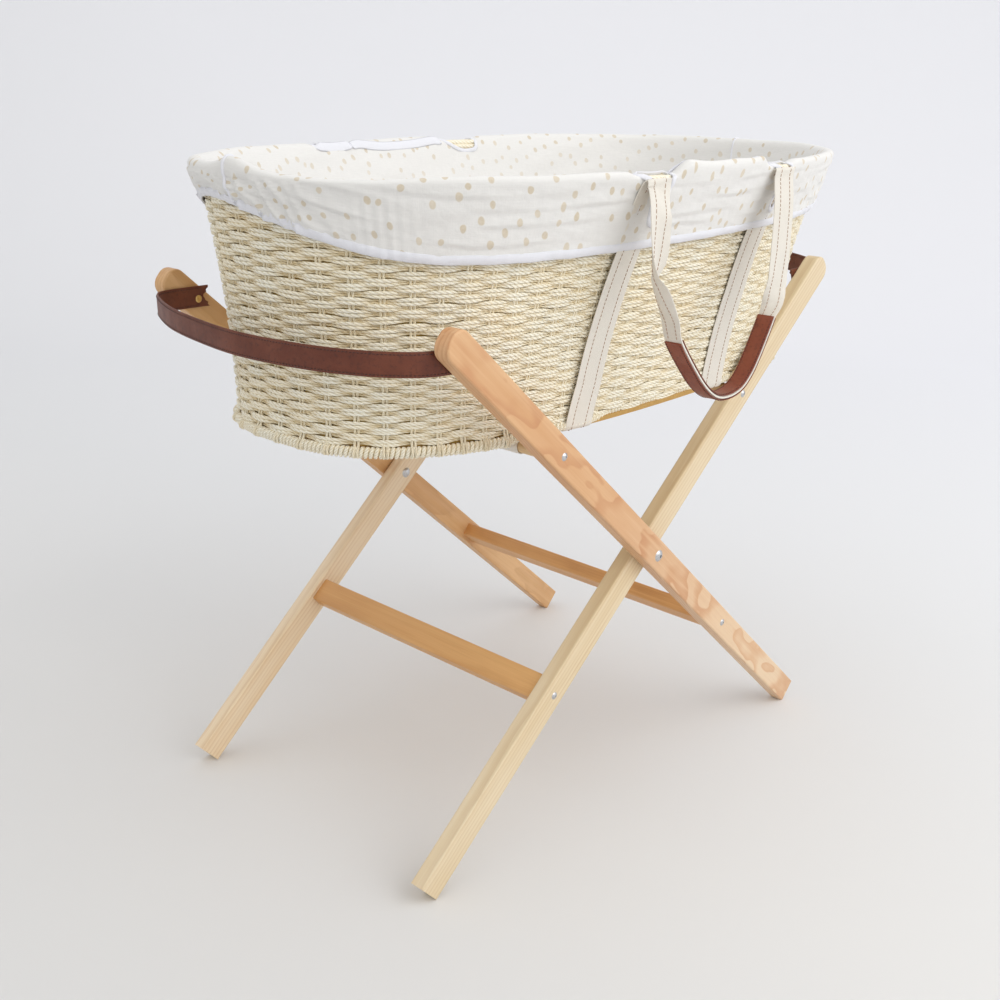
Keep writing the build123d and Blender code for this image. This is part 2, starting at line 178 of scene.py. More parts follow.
class Build:
    """Collects grids of points into one mesh, with a UV map in metres and, per point, an amount of painted shade that
    darkens the cord colour.
    """

    def __init__(self):
        self.points, self.faces, self.uvs, self.tones, self.slots = [], [], [], [], []
        self.count = 0

    def grid(self, p, wrap_u=False, wrap_v=False, uv=lambda a, b: (a * 0.001, b * 0.001), tone=0.0, slot=0, keep=None,
             flip=False):
        """p[i, j] are points; uv(i, j) gives the map of corner arrays; keep[i, j] says which faces stay."""
        n, m = p.shape[:2]
        iu = np.arange(n if wrap_u else n - 1)
        iv = np.arange(m if wrap_v else m - 1)
        i, j = np.meshgrid(iu, iv, indexing="ij")
        i, j = i.ravel(), j.ravel()
        if keep is not None:
            chosen = keep[i, j]
            i, j = i[chosen], j[chosen]
        corners = [(i, j), (i + 1, j), (i + 1, j + 1), (i, j + 1)]
        if flip:
            corners = corners[::-1]
        self.faces.append(np.stack([(a % n) * m + (b % m) + self.count for a, b in corners], -1))
        self.uvs.append(np.stack([np.stack(uv(a, b), -1) for a, b in corners], 1))
        self.points.append(p.reshape(-1, 3))
        self.tones.append(np.broadcast_to(tone, (n, m)).ravel())
        self.slots.append(np.full(len(i), slot))
        self.count += n * m

    def make(self, name, materials, body):
        """One piece of all the grids; with body None it is attached to no body."""
        points, faces, uvs, tones, slots = (np.concatenate(part) for part in (
            self.points, self.faces, self.uvs, self.tones, self.slots))
        used = np.zeros(len(points), bool)
        used[faces.ravel()] = True
        index = np.cumsum(used) - 1
        mesh = bpy.data.meshes.new(name)
        mesh.vertices.add(int(used.sum()))
        mesh.loops.add(len(faces) * 4)
        mesh.polygons.add(len(faces))
        for items, key, values, kind in (
                (mesh.vertices, "co", points[used], np.float32),
                (mesh.loops, "vertex_index", index[faces], np.int32),
                (mesh.polygons, "loop_start", np.arange(len(faces)) * 4, np.int32),
                (mesh.polygons, "material_index", slots, np.int32),
                (mesh.polygons, "use_smooth", np.full(len(faces), True), bool)):
            items.foreach_set(key, values.astype(kind).ravel())
        mesh.uv_layers.new(name="UVMap").data.foreach_set("uv", uvs.astype(np.float32).ravel())
        mesh.attributes.new("tone", "FLOAT", "POINT").data.foreach_set("value", tones[used].astype(np.float32))
        mesh.update(calc_edges=True)
        mesh.validate()
        piece = placed(name, mesh)
        for m in materials:
            mesh.materials.append(m)
        if body:
            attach(piece, body)
        return piece


def smooth_path(p, count):
    """Catmull-Rom curve through the points, evenly spaced by length."""
    q = np.vstack([2 * p[0] - p[1], p, 2 * p[-1] - p[-2]])
    fine = []
    for k in range(1, len(q) - 2):
        t = np.linspace(0, 1, 40, endpoint=False)[:, None]
        a, b, c, d = q[k - 1], q[k], q[k + 1], q[k + 2]
        fine.append(0.5 * (2 * b + (c - a) * t + (2 * a - 5 * b + 4 * c - d) * t ** 2
                           + (3 * b - a - 3 * c + d) * t ** 3))
    fine = np.vstack(fine + [q[-2][None]])
    arc = lengths(fine)
    return sample(fine, arc, np.linspace(0, arc[-1], count))


def unit(v):
    return v / np.maximum(np.linalg.norm(v, axis=-1, keepdims=True), 1e-12)


def tangents(p, closed=False):
    if closed:
        return unit(np.roll(p, -1, 0) - np.roll(p, 1, 0))
    return unit(np.gradient(p, axis=0))


def tube(build, path, radius, sides=6, closed=False, tone=0.0, flat=1.0, up=(0, 0, 1), slot=0):
    """A round or flattened tube along a path. UV: length in metres, and turn 0..1."""
    t = tangents(path, closed)
    side = unit(np.cross(t, np.asarray(up, float)))
    top = np.cross(side, t)
    angle = np.arange(sides) / sides * TAU
    r = np.broadcast_to(radius, len(path))
    ring = side[:, None] * np.cos(angle)[None, :, None] * flat + top[:, None] * np.sin(angle)[None, :, None]
    p = path[:, None] + ring * r[:, None, None]
    arc = lengths(np.vstack([path, path[:1]]))
    build.grid(p, closed, True, lambda a, b: (arc[a], b / sides), np.reshape(tone, (-1, 1)), slot)
    if not closed:
        for end, outward in ((0, -1), (-1, 1)):
            tip = path[end] + t[end] * outward * r[end] * 0.5
            cap = np.stack([p[end], np.broadcast_to(tip, p[end].shape)], 0)
            build.grid(cap, False, True, lambda a, b: (a * 0.001, b / sides), slot=slot, flip=end != 0)


END_CUT_REACH = 0.02


def band(build, path, wide, width, thick, columns=9, end_cut=None, round_edge=0.45, bulge=0.0):
    """A flat strap; wide[i] is its direction across and end_cut(v) the depth of its cut ends.
    UV: length in metres, and 0..1 across on the outer face (1..2 on the inner face).
    Returns a function for points on its faces, and its length."""
    n = len(path)
    t = tangents(path)
    wide = unit(wide - t * np.sum(wide * t, -1, keepdims=True))
    out = np.cross(wide, t)
    width, thick, bulge = (np.broadcast_to(value, n)[:, None] for value in (width, thick, bulge))
    v = np.linspace(0, 1, columns)
    arc = lengths(path)
    edge = np.minimum(v, 1 - v) * 2
    body = thick / 2 * (1 - (1 - round_edge) * np.exp(-edge * 9))
    arch = bulge * np.sin(v * math.pi)
    middle = path[:, None] + wide[:, None] * ((v - 0.5) * width)[:, :, None]
    if end_cut:
        near_end = [np.clip(1 - distance / END_CUT_REACH, 0, 1) for distance in (arc, arc[-1] - arc)]
        middle = middle + t[:, None] * (end_cut(v) * (near_end[0] - near_end[1])[:, None])[:, :, None]
    outer = middle + out[:, None] * (arch + body)[:, :, None]
    inner = middle + out[:, None] * (arch - body)[:, :, None]
    build.grid(outer, uv=lambda a, b: (arc[a], v[b]), flip=True)
    build.grid(inner, uv=lambda a, b: (arc[a], 1 + v[b]))
    for col in (0, columns - 1):
        build.grid(np.stack([outer[:, col], inner[:, col]], 1), uv=lambda a, b: (arc[a], b * 0 + v[col]), flip=col != 0)
    for row in (0, n - 1):
        build.grid(np.stack([outer[row], inner[row]], 1), uv=lambda a, b: (a * 0 + arc[row], v[a]), flip=row == 0)

    def at(s, across, lift=0.0, face=1):
        """A point at length s and share across, lifted off the outer (face 1) or inner (-1) face."""
        row = np.interp(s, arc, np.arange(n))
        i = np.clip(row.astype(int), 0, n - 2)
        w = (row - i)[:, None]
        col = np.clip(across * (columns - 1), 0, columns - 1.001)
        j = int(col)
        u = col - j
        g = outer if face > 0 else inner
        a, b = (g[k, j] * (1 - u) + g[k, j + 1] * u for k in (i, i + 1))
        return a * (1 - w) + b * w + (out[i] * (1 - w) + out[i + 1] * w) * lift * face

    return at, arc[-1]


def stitches(build, at, spans, lines, faces=(1,), pitch=0.0042, share=0.78, radius=0.00034):
    """Lines of thread dashes on a band, each over the given spans of its length."""
    for line, face, (start, stop) in itertools.product(lines, faces, spans):
        for s in np.arange(start, stop - pitch, pitch):
            places = s + np.array([0, 0.12, 0.5, 0.88, 1]) * pitch * share
            lifts = np.array([-0.6, 0.35, 0.8, 0.35, -0.6]) * radius
            dash = np.stack([at(places[k:k + 1], line, lifts[k], face)[0] for k in range(5)])
            tube(build, dash, np.array([0.5, 1, 1, 1, 0.5]) * radius, 5, up=(0.3, 0.5, 0.8), slot=1)


def wave_noise(shape_u, shape_v, u, v, seed, octaves=3):
    """Smooth noise on a closed strip: u wraps at 1. Built from seeded sines."""
    r = np.random.default_rng(seed)
    out = np.zeros(np.broadcast(u, v).shape)
    for k in range(octaves * 5):
        level = k // 5
        fu = int(round(shape_u * 2 ** level * r.uniform(0.6, 1.4)))
        fv = shape_v * 2 ** level * r.uniform(-1.0, 1.0)
        out += np.sin(TAU * (fu * u + fv * v) + r.uniform(0, TAU)) / (2 ** level)
    return out / 3.2


def ripple(waves, frac, seed, octaves=2):
    return wave_noise(waves, 0, frac, 0.0, seed, octaves)


# ---- materials
def srgb(r, g, b):
    def lin(c):
        c = c / 255
        return c / 12.92 if c <= 0.04045 else ((c + 0.055) / 1.055) ** 2.4
    return (lin(r), lin(g), lin(b), 1.0)


class Mat:
    """A node material with short calls: every helper returns an output socket. Colours are 0..255."""

    def __init__(self, name, roughness=0.6, sheen=0.0, metallic=0.0, coat=0.0, coat_roughness=0.3):
        self.material = bpy.data.materials.new(name)
        self.material.use_nodes = True
        self.tree = self.material.node_tree
        self.shader = self.tree.nodes["Principled BSDF"]
        for key, value in (("Roughness", roughness), ("Metallic", metallic), ("Sheen Weight", sheen),
                           ("Sheen Roughness", 0.5), ("Coat Weight", coat), ("Coat Roughness", coat_roughness)):
            self.shader.inputs[key].default_value = value

    def put(self, socket, value):
        if isinstance(value, bpy.types.NodeSocket):
            self.tree.links.new(value, socket)
        elif socket.type == "RGBA" and len(value) == 3:
            socket.default_value = srgb(*value)
        else:
            socket.default_value = value

    def node(self, kind, out=0, inputs=None, **settings):
        n = self.tree.nodes.new("ShaderNode" + kind)
        for key, value in settings.items():
            setattr(n, key, value)
        for key, value in (inputs or {}).items():
            self.put(n.inputs[key], value)
        return n.outputs[out]

    def coords(self, kind="Object"):
        return self.node("TexCoord", kind)

    def mapped(self, vector, scale=(1, 1, 1), rotation=(0, 0, 0), location=(0, 0, 0)):
        return self.node("Mapping", 0, {"Vector": vector, "Scale": scale, "Rotation": rotation, "Location": location})

    def op(self, kind, a, b=0.0, c=0.0, clamp=False):
        return self.node("Math", 0, {0: a, 1: b, 2: c}, operation=kind, use_clamp=clamp)

    add = functools.partialmethod(op, "ADD")
    sub = functools.partialmethod(op, "SUBTRACT")
    mul = functools.partialmethod(op, "MULTIPLY")
    madd = functools.partialmethod(op, "MULTIPLY_ADD")

    def vector(self, kind, a, b, out=0):
        return self.node("VectorMath", out, {0: a, 1: b}, operation=kind)

    def noise(self, vector, scale, detail=3.0, rough=0.55, out=0):
        return self.node("TexNoise", out, {"Vector": vector, "Scale": scale, "Detail": detail, "Roughness": rough})

    def voronoi(self, vector, scale, randomness=1.0, out=0, dims="3D"):
        return self.node("TexVoronoi", out, {"Vector": vector, "Scale": scale, "Randomness": randomness},
                         voronoi_dimensions=dims)

    def ramp(self, fac, *stops):
        n = self.tree.nodes.new("ShaderNodeValToRGB")
        self.put(n.inputs[0], fac)
        e = n.color_ramp.elements
        while len(e) < len(stops):
            e.new(0.5)
        for k, (pos, value) in enumerate(stops):
            e[k].position = pos
            e[k].color = srgb(*value) if hasattr(value, "__len__") else (value, value, value, 1)
        return n.outputs[0]

    def mix(self, fac, a, b, blend="MIX"):
        return self.node("Mix", "Result", {"Factor": fac, "A": a, "B": b}, data_type="RGBA", blend_type=blend)

    def separate(self, vector):
        return self.node("SeparateXYZ", slice(None), {0: vector})

    def combine(self, x, y, z=0.0):
        return self.node("CombineXYZ", 0, {0: x, 1: y, 2: z})

    def attribute(self, name):
        return self.node("Attribute", "Fac", attribute_name=name)

    def rough(self, value):
        self.put(self.shader.inputs["Roughness"], value)

    def done(self, colour, height, distance, strength):
        """The finished material, with its colour and its relief, distance metres deep."""
        bumped = self.node("Bump", 0, {"Strength": strength, "Distance": distance, "Height": height})
        self.put(self.shader.inputs["Base Color"], colour)
        self.put(self.shader.inputs["Normal"], bumped)
        return self.material


CORD_LAY = 0.026


def cord_material(name, light, mid, dark):
    """Loosely twisted paper cord. UV: length in metres, turn 0..1. A per-point amount of painted shade darkens what
    lies deep in the weave.
    """
    m = Mat(name, roughness=0.75, sheen=0.1)
    uv = m.separate(m.coords("UV"))
    wobble = m.mul(m.noise(m.coords(), 70, 2), 0.6)
    turns = m.add(m.mul(uv[1], 4), m.op("DIVIDE", uv[0], CORD_LAY / 4))
    wave = m.op("SINE", m.mul(m.add(turns, wobble), TAU))
    groove = m.ramp(m.madd(wave, 0.5, 0.5), (0, 0), (0.25, 0.7), (1, 1))
    fibre = m.noise(m.combine(m.mul(turns, 3), m.mul(uv[0], 60)), 1, 2)
    patch = m.noise(m.coords(), 26, 4, 0.6)
    base = m.mix(m.ramp(patch, (0.35, 0), (0.68, 1)), light, mid)
    base = m.mix(m.mul(m.ramp(fibre, (0.4, 0), (0.72, 1)), 0.35), base, mid)
    # Painted shade in the grooves of the twist, between its plies.
    base = m.mix(m.mul(m.sub(1, groove), 0.3), base, dark)
    # Painted shade: the per-point amount darkens the cord where it lies deep in the weave or in shade.
    base = m.mix(m.attribute("tone"), base, dark)
    return m.done(base, m.add(groove, m.mul(fibre, 0.5)), 0.0007, 0.8)


THREADS = 1400
OVAL_PITCH = 0.0182, 0.0208


def cotton_material(name, base, dots=None):
    """Plain cotton with slubs. UV in metres; dots adds scattered tan ovals."""
    m = Mat(name, roughness=0.92, sheen=0.15)
    uv = m.coords("UV")
    warp = m.noise(m.mapped(uv, (THREADS, THREADS * 0.06, 1)), 1, 2)
    weft = m.noise(m.mapped(uv, (THREADS * 0.06, THREADS, 1)), 1, 2)
    thread = m.add(warp, weft)
    slub = m.noise(m.mapped(uv, (60, 900, 1)), 1, 3)
    tint = m.ramp(m.madd(thread, 0.35, m.mul(slub, 0.3)), (0.3, 0.94), (0.62, 1))
    colour = m.mix(1, base, tint, "MULTIPLY")
    if dots:
        p = m.mapped(m.mapped(uv, (1, 1, 1), (0, 0, 0.38)), (1 / OVAL_PITCH[0], 1 / OVAL_PITCH[1], 1))
        wander = m.vector("SUBTRACT", m.noise(m.mapped(uv, (70, 70, 1)), 1, 1, out=1), (0.5, 0.5, 0.5))
        warped = m.vector("ADD", p, m.vector("MULTIPLY", wander, (0.2, 0.2, 0)))
        distance = m.voronoi(warped, 1, 0.62, 0, dims="2D")
        cell = m.voronoi(warped, 1, 0.62, 1, dims="2D")
        size = m.madd(m.separate(cell)[0], 0.04, 0.158)
        inside = m.ramp(m.op("DIVIDE", distance, size), (0.74, 1), (1, 0))
        present = m.op("GREATER_THAN", m.separate(cell)[1], 0.1)
        worn = m.madd(m.noise(m.mapped(uv, (420, 420, 1)), 1, 2), 0.5, 0.62)
        shade = m.mix(m.separate(cell)[2], *dots)
        fade = m.ramp(m.separate(uv)[1], (0.19, 0.62), (0.225, 1))
        strength = m.mul(m.mul(inside, present), worn, clamp=True)
        colour = m.mix(m.mul(strength, fade), colour, shade)
    relief = m.madd(thread, 0.7, m.mul(slub, 0.6))
    if dots:
        crinkle = m.noise(m.mapped(uv, (150, 240, 1)), 1, 3)
        relief = m.madd(crinkle, 4.5, relief)
    return m.done(colour, relief, 0.00018, 0.55)


def webbing_material(name, base):
    """Cream herringbone webbing. UV: metres along, 0..1 across."""
    m = Mat(name, roughness=0.88, sheen=0.12)
    uv = m.separate(m.coords("UV"))
    across = m.mul(m.op("FRACT", uv[1]), 0.038)
    zig = m.op("ABSOLUTE", m.sub(m.op("FRACT", m.op("DIVIDE", across, 0.0095)), 0.5))
    rib = m.op("SINE", m.mul(m.add(uv[0], m.mul(zig, 0.009)), TAU / 0.0014))
    tape = m.op("SINE", m.mul(across, TAU / 0.0011))
    height = m.madd(rib, 0.5, m.mul(tape, 0.4))
    tint = m.ramp(m.madd(height, 0.5, 0.5), (0, 0.9), (0.7, 1))
    colour = m.mix(1, base, tint, "MULTIPLY")
    colour = m.mix(m.mul(m.noise(m.coords(), 45, 3), 0.25), colour, (214, 206, 190))
    return m.done(colour, height, 0.00022, 0.6)


def leather_material(name, base, light, dark, rough=0.46):
    m = Mat(name, roughness=rough, coat=0.12, coat_roughness=0.35)
    p = m.coords()
    grain = m.voronoi(p, 900, 1)
    creases = m.noise(p, 260, 4, 0.6)
    wear = m.noise(p, 32, 4, 0.55)
    colour = m.mix(m.ramp(wear, (0.35, 0), (0.72, 1)), base, light)
    colour = m.mix(m.ramp(creases, (0.3, 0.55), (0.48, 0)), colour, dark)
    m.rough(m.ramp(wear, (0.3, rough + 0.08), (0.7, rough - 0.06)))
    return m.done(colour, m.madd(grain, 0.6, m.mul(creases, 0.7)), 0.0003, 0.6)


def wood_material(name, light, mid, dark, rotation, middle, seed, figure, lines, pith=(0.004, 0.105), pale=None):
    """Pine. Local Z runs along the board after rotation; growth rings cut it into lines and flames."""
    m = Mat(name, roughness=0.46, coat=0.05, coat_roughness=0.4)
    x, y, z = m.separate(m.mapped(m.coords(), (1, 1, 1), rotation, middle))

    def stretched(across, along, detail=2, step=0):
        return m.noise(m.combine(m.madd(x, across, 7.3 * seed + step), m.madd(y, across, 3.1 * seed),
                                 m.madd(z, along, 5.7 * seed)), 1, detail)

    drift, wave = stretched(3, 3.4, 1), stretched(26, 12, 2, 4)
    deep = m.add(m.sub(y, pith[1]), m.madd(drift, 0.03 * figure, -0.015 * figure))
    aside = m.sub(x, pith[0])
    radius = m.op("SQRT", m.add(m.op("POWER", aside, 2), m.op("POWER", deep, 2)))
    rings = m.add(m.mul(radius, 210), m.mul(wave, 3.2 * figure))
    late = m.ramp(m.op("FRACT", rings), (0, 0), (0.4, 0.06), (0.72, 0.75), (0.93, 1), (1, 0))
    fibre, streak, patch = stretched(800, 16), stretched(150, 5, 3, 1), stretched(26, 3.2, 2, 2)
    colour = m.mix(m.ramp(patch, (0.35, 0), (0.68, 1)), light, mid)
    strength = m.mul(m.ramp(patch, (0.3, 0.6), (0.7, 1)), lines)
    colour = m.mix(m.mul(late, strength), colour, dark)
    colour = m.mix(m.mul(m.ramp(streak, (0.5, 0), (0.66, 1)), 0.4), colour, mid)
    colour = m.mix(m.mul(m.ramp(streak, (0.32, 1), (0.46, 0)), 0.55), colour, light)
    if pale:
        low = m.ramp(m.separate(m.coords())[2], (0.1, 1), (0.42, 0))
        colour = m.mix(m.mul(low, m.sub(1, m.mul(late, 0.75))), colour, pale)
    colour = m.mix(m.mul(m.ramp(fibre, (0.45, 0), (0.8, 1)), 0.16), colour, dark)
    m.rough(m.ramp(late, (0, 0.48), (1, 0.4)))
    return m.done(colour, m.madd(late, -0.3, m.mul(fibre, -0.6)), 0.0002, 0.3)


def metal_material(name, colour, rough=0.28):
    m = Mat(name, roughness=rough, metallic=1)
    colour = srgb(*colour)
    scratch = m.noise(m.mapped(m.coords(), (700, 700, 2400)), 1, 3)
    m.rough(m.ramp(scratch, (0.3, rough - 0.06), (0.7, rough + 0.12)))
    worn = m.mix(m.mul(scratch, 0.35), colour, (*(c * 0.72 for c in colour[:3]), 1))
    return m.done(worn, scratch, 0.00005, 0.3)


def board_material(name, light, dark):
    m = Mat(name, roughness=0.7)
    p = m.coords()
    return m.done(m.mix(m.noise(p, 300, 4), light, dark), m.noise(p, 700, 3), 0.0002, 0.4)


CORD = cord_material("cord", (255, 253, 240), (254, 245, 222), (220, 188, 112))
# Painted shade: the sheet behind the weave is coloured golden brown, as the shade deep in the weave seen through its
# gaps.
PAINTED_SHADE_BACKING = cord_material("weave_shadow", (240, 205, 120), (228, 192, 100), (205, 165, 80))
DOTTED = cotton_material("dotted_cotton", (234, 233, 231), ((209, 195, 171), (219, 208, 189)))
BINDING = cotton_material("binding", (234, 235, 242))
PAD = cotton_material("pad_cover", (238, 237, 235))
WEBBING = webbing_material("webbing", (238, 233, 224))
THREAD = cotton_material("brown_thread", (176, 138, 108))
DARK_THREAD = cotton_material("dark_thread", (70, 36, 30))
LEATHER = leather_material("strap_leather", (98, 42, 20), (118, 58, 32), (58, 24, 12), 0.52)
CHESTNUT = leather_material("grip_leather", (128, 58, 36), (142, 72, 48), (90, 38, 26))
STEEL = metal_material("steel", (205, 206, 208))
BRASS = metal_material("brass", (214, 176, 112))
COPPER = metal_material("copper", (206, 138, 108))
BOARD = board_material("board", (206, 166, 96), (178, 136, 70))

OUTER_TURN = (0, LEAN, 0)
INNER_TURN = (0, -LEAN, 0)
ACROSS = (math.pi / 2, 0, 0)
# light, middle and dark colour, turn, seed, strength of the figure and of the lines, pith, and paler foot
wood = {
    "leg_outer_near": ((226, 184, 139), (210, 157, 109), (187, 118, 72), OUTER_TURN, 1, 1, 0.56,
                       (0.004, 0.105), (232, 205, 172)),
    "leg_outer_far": ((226, 184, 136), (212, 164, 110), (176, 120, 66), OUTER_TURN, 2, 0.6, 0.45),
    "leg_inner_near": ((232, 215, 184), (222, 200, 162), (192, 156, 106), INNER_TURN, 3.3, 0.25, 0.42,
                       (0.085, 0.03)),
    "leg_inner_far": ((240, 221, 192), (231, 204, 166), (200, 160, 116), INNER_TURN, 4.7, 0.3, 0.46,
                      (0.08, 0.04)),
    "lower_rail_outer": ((230, 180, 122), (214, 158, 98), (168, 108, 54), ACROSS, 5.1, 0.25, 0.55,
                         (0.06, 0.06)),
    "lower_rail_inner": ((226, 178, 118), (210, 154, 94), (164, 104, 50), ACROSS, 6.4, 0.25, 0.55,
                         (0.06, 0.06)),
}
for name, seed in (("upper_dowel_outer", 7.2), ("upper_dowel_inner", 8.9)):
    wood[name] = ((230, 200, 156), (218, 184, 136), (188, 146, 98), ACROSS, seed, 0.2, 0.3)


def dress(node, material):
    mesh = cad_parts[node].data
    mesh.materials.clear()
    mesh.materials.append(material)


for node, look in wood.items():
    corners = np.array([v.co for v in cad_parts[node].data.vertices])
    middle = Euler(look[3]).to_matrix() @ Vector((corners.min(0) + corners.max(0)) / 2)
    dress(node, wood_material("pine_" + node, *look[:4], tuple(-middle), *look[4:]))
for node in ("rail_screws_outer", "rail_screws_inner", "pivot_bolts", "pivot_sleeves", "pivot_washers"):
    dress(node, STEEL)
dress("strap_rivets_left", BRASS)
dress("strap_rivets_right", COPPER)
dress("base_board", BOARD)


# ---- woven wall
def stake_phase(frac):
    """Stakes passed up to frac: they stand a little closer together round the four corners."""
    return STAKES * (frac + 0.16 * np.sin(8 * math.pi * (frac - 0.125)) / (8 * math.pi))


STAKE_FRACS = np.interp(np.arange(STAKES), stake_phase(np.linspace(0, 1, 4000)) - stake_phase(0.0),
                        np.linspace(0, 1, 4000))


def looseness(frac):
    """1 round the left end, where the strands bulge between the stakes; less along the sides."""
    return 0.3 + 0.7 * np.exp(-((frac - 0.5) / 0.085) ** 4)


def woven_wall():
    """Rows of paired cords that pass in front of and behind upright stakes, turn and turn about."""
    samples, sides, rows_per_piece = 7, 6, 13
    n = STAKES * samples
    phase = np.arange(n) / samples
    share = np.linspace(0, 1, 6000)
    frac = np.interp(phase, stake_phase(share) - stake_phase(0.0), share)
    loose = looseness(frac)
    settle = 0.002 * (foot_line(frac)[1] < -0.005)
    angle = (np.arange(sides) / sides * TAU + 0.3)[:, None]
    length = table_len[12]
    for part, first in enumerate(range(0, ROWS, rows_per_piece)):
        build = Build()
        for k in range(first, min(first + rows_per_piece, ROWS)):
            front = np.cos(math.pi * (phase + k))
            shaped = np.sign(front) * np.abs(front) ** 0.75
            drift = ripple(3, frac, 300, 1) * 0.0008
            bow = ripple(9, frac, 100 + k, 3) * 0.00045
            spread = 1 + 0.24 * np.clip(shaped, -1, 1) * (1.45 - 0.6 * loose)
            row_z = FIRST_ROW_Z + ROW_PITCH * k - settle * (1 - k / ROWS) ** 2 + drift + bow
            for cord, at in enumerate((-1, 1)):
                seed = 2 * k + cord
                z = row_z + ripple(31, frac, 900 + seed) * 0.00022 + at * CORD_STEP * spread
                swell = 1 + ripple(27, frac, 500 + seed) * 0.07
                off = WEAVE_MIDDLE + 0.0021 * shaped * (0.35 + 0.65 * loose)
                off = off + ripple(23, frac, 700 + seed) * 0.00022 - 0.0012 * (1 - loose) * 0.4
                radial = (CORD_RADII[0] * swell)[:, None, None]
                upright = (CORD_RADII[1] * swell * spread)[:, None, None]
                ring = wall_normal(frac, z)[:, None] * np.cos(angle) * radial + UP * np.sin(angle) * upright
                # Painted shade: darker where a cord passes behind the stakes and round the left end, which stands in
                # shade, with a little random variation.
                tone = np.clip(0.1 + 0.1 * loose - 0.28 * shaped, 0, 0.45) + 0.05 * ripple(40, frac, seed, 1)
                start = rng.uniform(0, 1)
                build.grid(wall(frac, z, off)[:, None] + ring, True, True,
                           lambda a, b: (a / n * length, b / sides + start), tone[:, None], flip=True)
        piece = build.make(f"weave_{part + 1}", [CORD], "basket")
        if part == 0:
            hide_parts("basket_wall")
    stakes = Build()
    for f0 in STAKE_FRACS:
        heights = np.linspace(0.484, 0.7155, 22)
        lift = np.full(22, -0.004)
        rope_z, rope_off = foot_line(f0)
        if rope_z < FOOT_LOW[0] + 0.0013:
            # at the ends a stake runs on down over the sagging foot rope
            heights = np.concatenate([rope_z + np.array([-0.003, -0.0012, 0.0012, 0.004, 0.0062]), heights + 0.0035])
            lift = np.concatenate([rope_off + np.array([0.0034, 0.0056, 0.0058, 0.004, 0.0012]), lift])
        for side in (-1, 1):
            recess = np.where(heights > 0.489, 0.0009, 0.0)
            # The stakes carry painted shade, as they show only deep between the rows.
            tube(stakes, wall(f0 + side * STAKE_RADIUS * 1.2 / length, heights, lift - recess - 0.0003 * side),
                 STAKE_RADIUS, tone=0.2, up=(1, 0.3, 0))
    stakes.make("weave_stakes", [CORD], "basket")
    # A sheet behind the weave, coloured with painted shade, fills its gaps.
    back = Build()
    around = 256
    z = np.linspace(0.4792, 0.7145, 12)
    f, zz = np.meshgrid(np.arange(around) / around, z, indexing="ij")
    outer, inner = (wall(f, zz, off) for off in BACKING_FACES)
    for face, flip in ((outer, True), (inner, False)):
        back.grid(face, True, uv=lambda a, b: (a / around * length, z[b] * 40), flip=flip)
    for row in (0, -1):
        back.grid(np.stack([outer[:, row], inner[:, row]], 1), True, flip=row != 0)
    back.make("weave_backing", [PAINTED_SHADE_BACKING], "basket")


def foot_line(frac):
    """Height and offset of the cord wound round the foot: it sags at both ends, is hidden along the sides."""
    at = (0, 0.157, 0.168, 0.2, 0.215, 0.3, 0.315, 0.358, 0.369, 0.625, 0.636, 0.68, 0.698, 0.79, 0.805,
          0.824, 0.835, 1)
    half_way = [FOOT_LOW] * 2 + [FOOT_MID] * 2 + [FOOT_HID] * 2 + [FOOT_MID] * 2
    kind = np.array(half_way * 2 + [FOOT_LOW] * 2)
    return np.interp(frac, at, kind[:, 0]), np.interp(frac, at, kind[:, 1])


def foot_border():
    """A cord wound round the bottom edge of the weave; it drapes over the board at the ends."""
    wraps, steps = 400, 9
    n = wraps * steps
    frac, turn = np.arange(n) / n, np.arange(n) / steps * TAU
    z, off = foot_line(frac)
    sag = np.clip((FOOT_MID[0] - z) / 0.005, 0, 1)
    path = wall(frac, z + 0.0012 * sag + (0.003 + 0.0012 * sag) * np.sin(turn), off + 0.0033 * np.cos(turn))
    build = Build()
    # Painted shade on the side of each wrap that turns in towards the wall.
    tube(build, path, ROPE_RADIUS, closed=True, tone=np.clip(0.12 - 0.2 * np.cos(turn), 0, 1))
    core = np.arange(wraps) / wraps
    z, off = foot_line(core)
    for rise, thickness in ((0.0006, 0.0027), (0.0034, 0.0026)):
        lift = rise * np.clip((FOOT_MID[0] - z) / 0.005, 0, 1)
        # The cores are darkened as painted shade in the gaps where they show.
        tube(build, wall(core, z + lift, off - 0.0004), thickness, 8, closed=True, tone=0.35)
    piece = build.make("foot_rope", [CORD], "basket")
    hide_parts("foot_border")


def crest_dip(frac):
    """Share of the dip of the rim beside the left corner, on the near side."""
    return np.clip((frac - 0.5) / 0.018, 0, 1) * np.clip((0.6 - frac) / 0.04, 0, 1)


def rim_rope():
    """Four cords laid side by side round the rim, bound in under the liner, and a core between them."""
    n = 700
    frac = np.arange(n) / n
    dip = RIM_DIP * crest_dip(frac)
    build = Build()
    # Painted shade: a little on the four cords, more on the core between them.
    for seed, (off, z) in enumerate(((-0.0014, 0.7172), (-0.0018, 0.7224), (-0.0082, 0.7172), (-0.0078, 0.7224))):
        wave = ripple(60, frac, 40 + seed) * 0.0002 - dip
        tube(build, wall(frac, z + wave, off), 0.0031, 8, closed=True, tone=0.05)
    tube(build, wall(frac, 0.7195 - dip, -0.005), 0.004, 8, closed=True, tone=0.2)
    piece = build.make("rim_rope", [CORD], "basket")
    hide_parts("rim_border")


# ---- liner
# where the carrying straps stand at heights 0.475, 0.52, 0.59 and 0.66: they lean
STRAP_X = {-1: ((-0.157, -0.147, -0.141, -0.1365), (0.0885, 0.0925, 0.0965, 0.094)),
           1: ((-0.103, -0.103, -0.103, -0.103), (0.122, 0.122, 0.122, 0.122))}
HANDLE_X = {-1: -0.027, 1: 0.01}
HANDLE_SPACING = 0.108
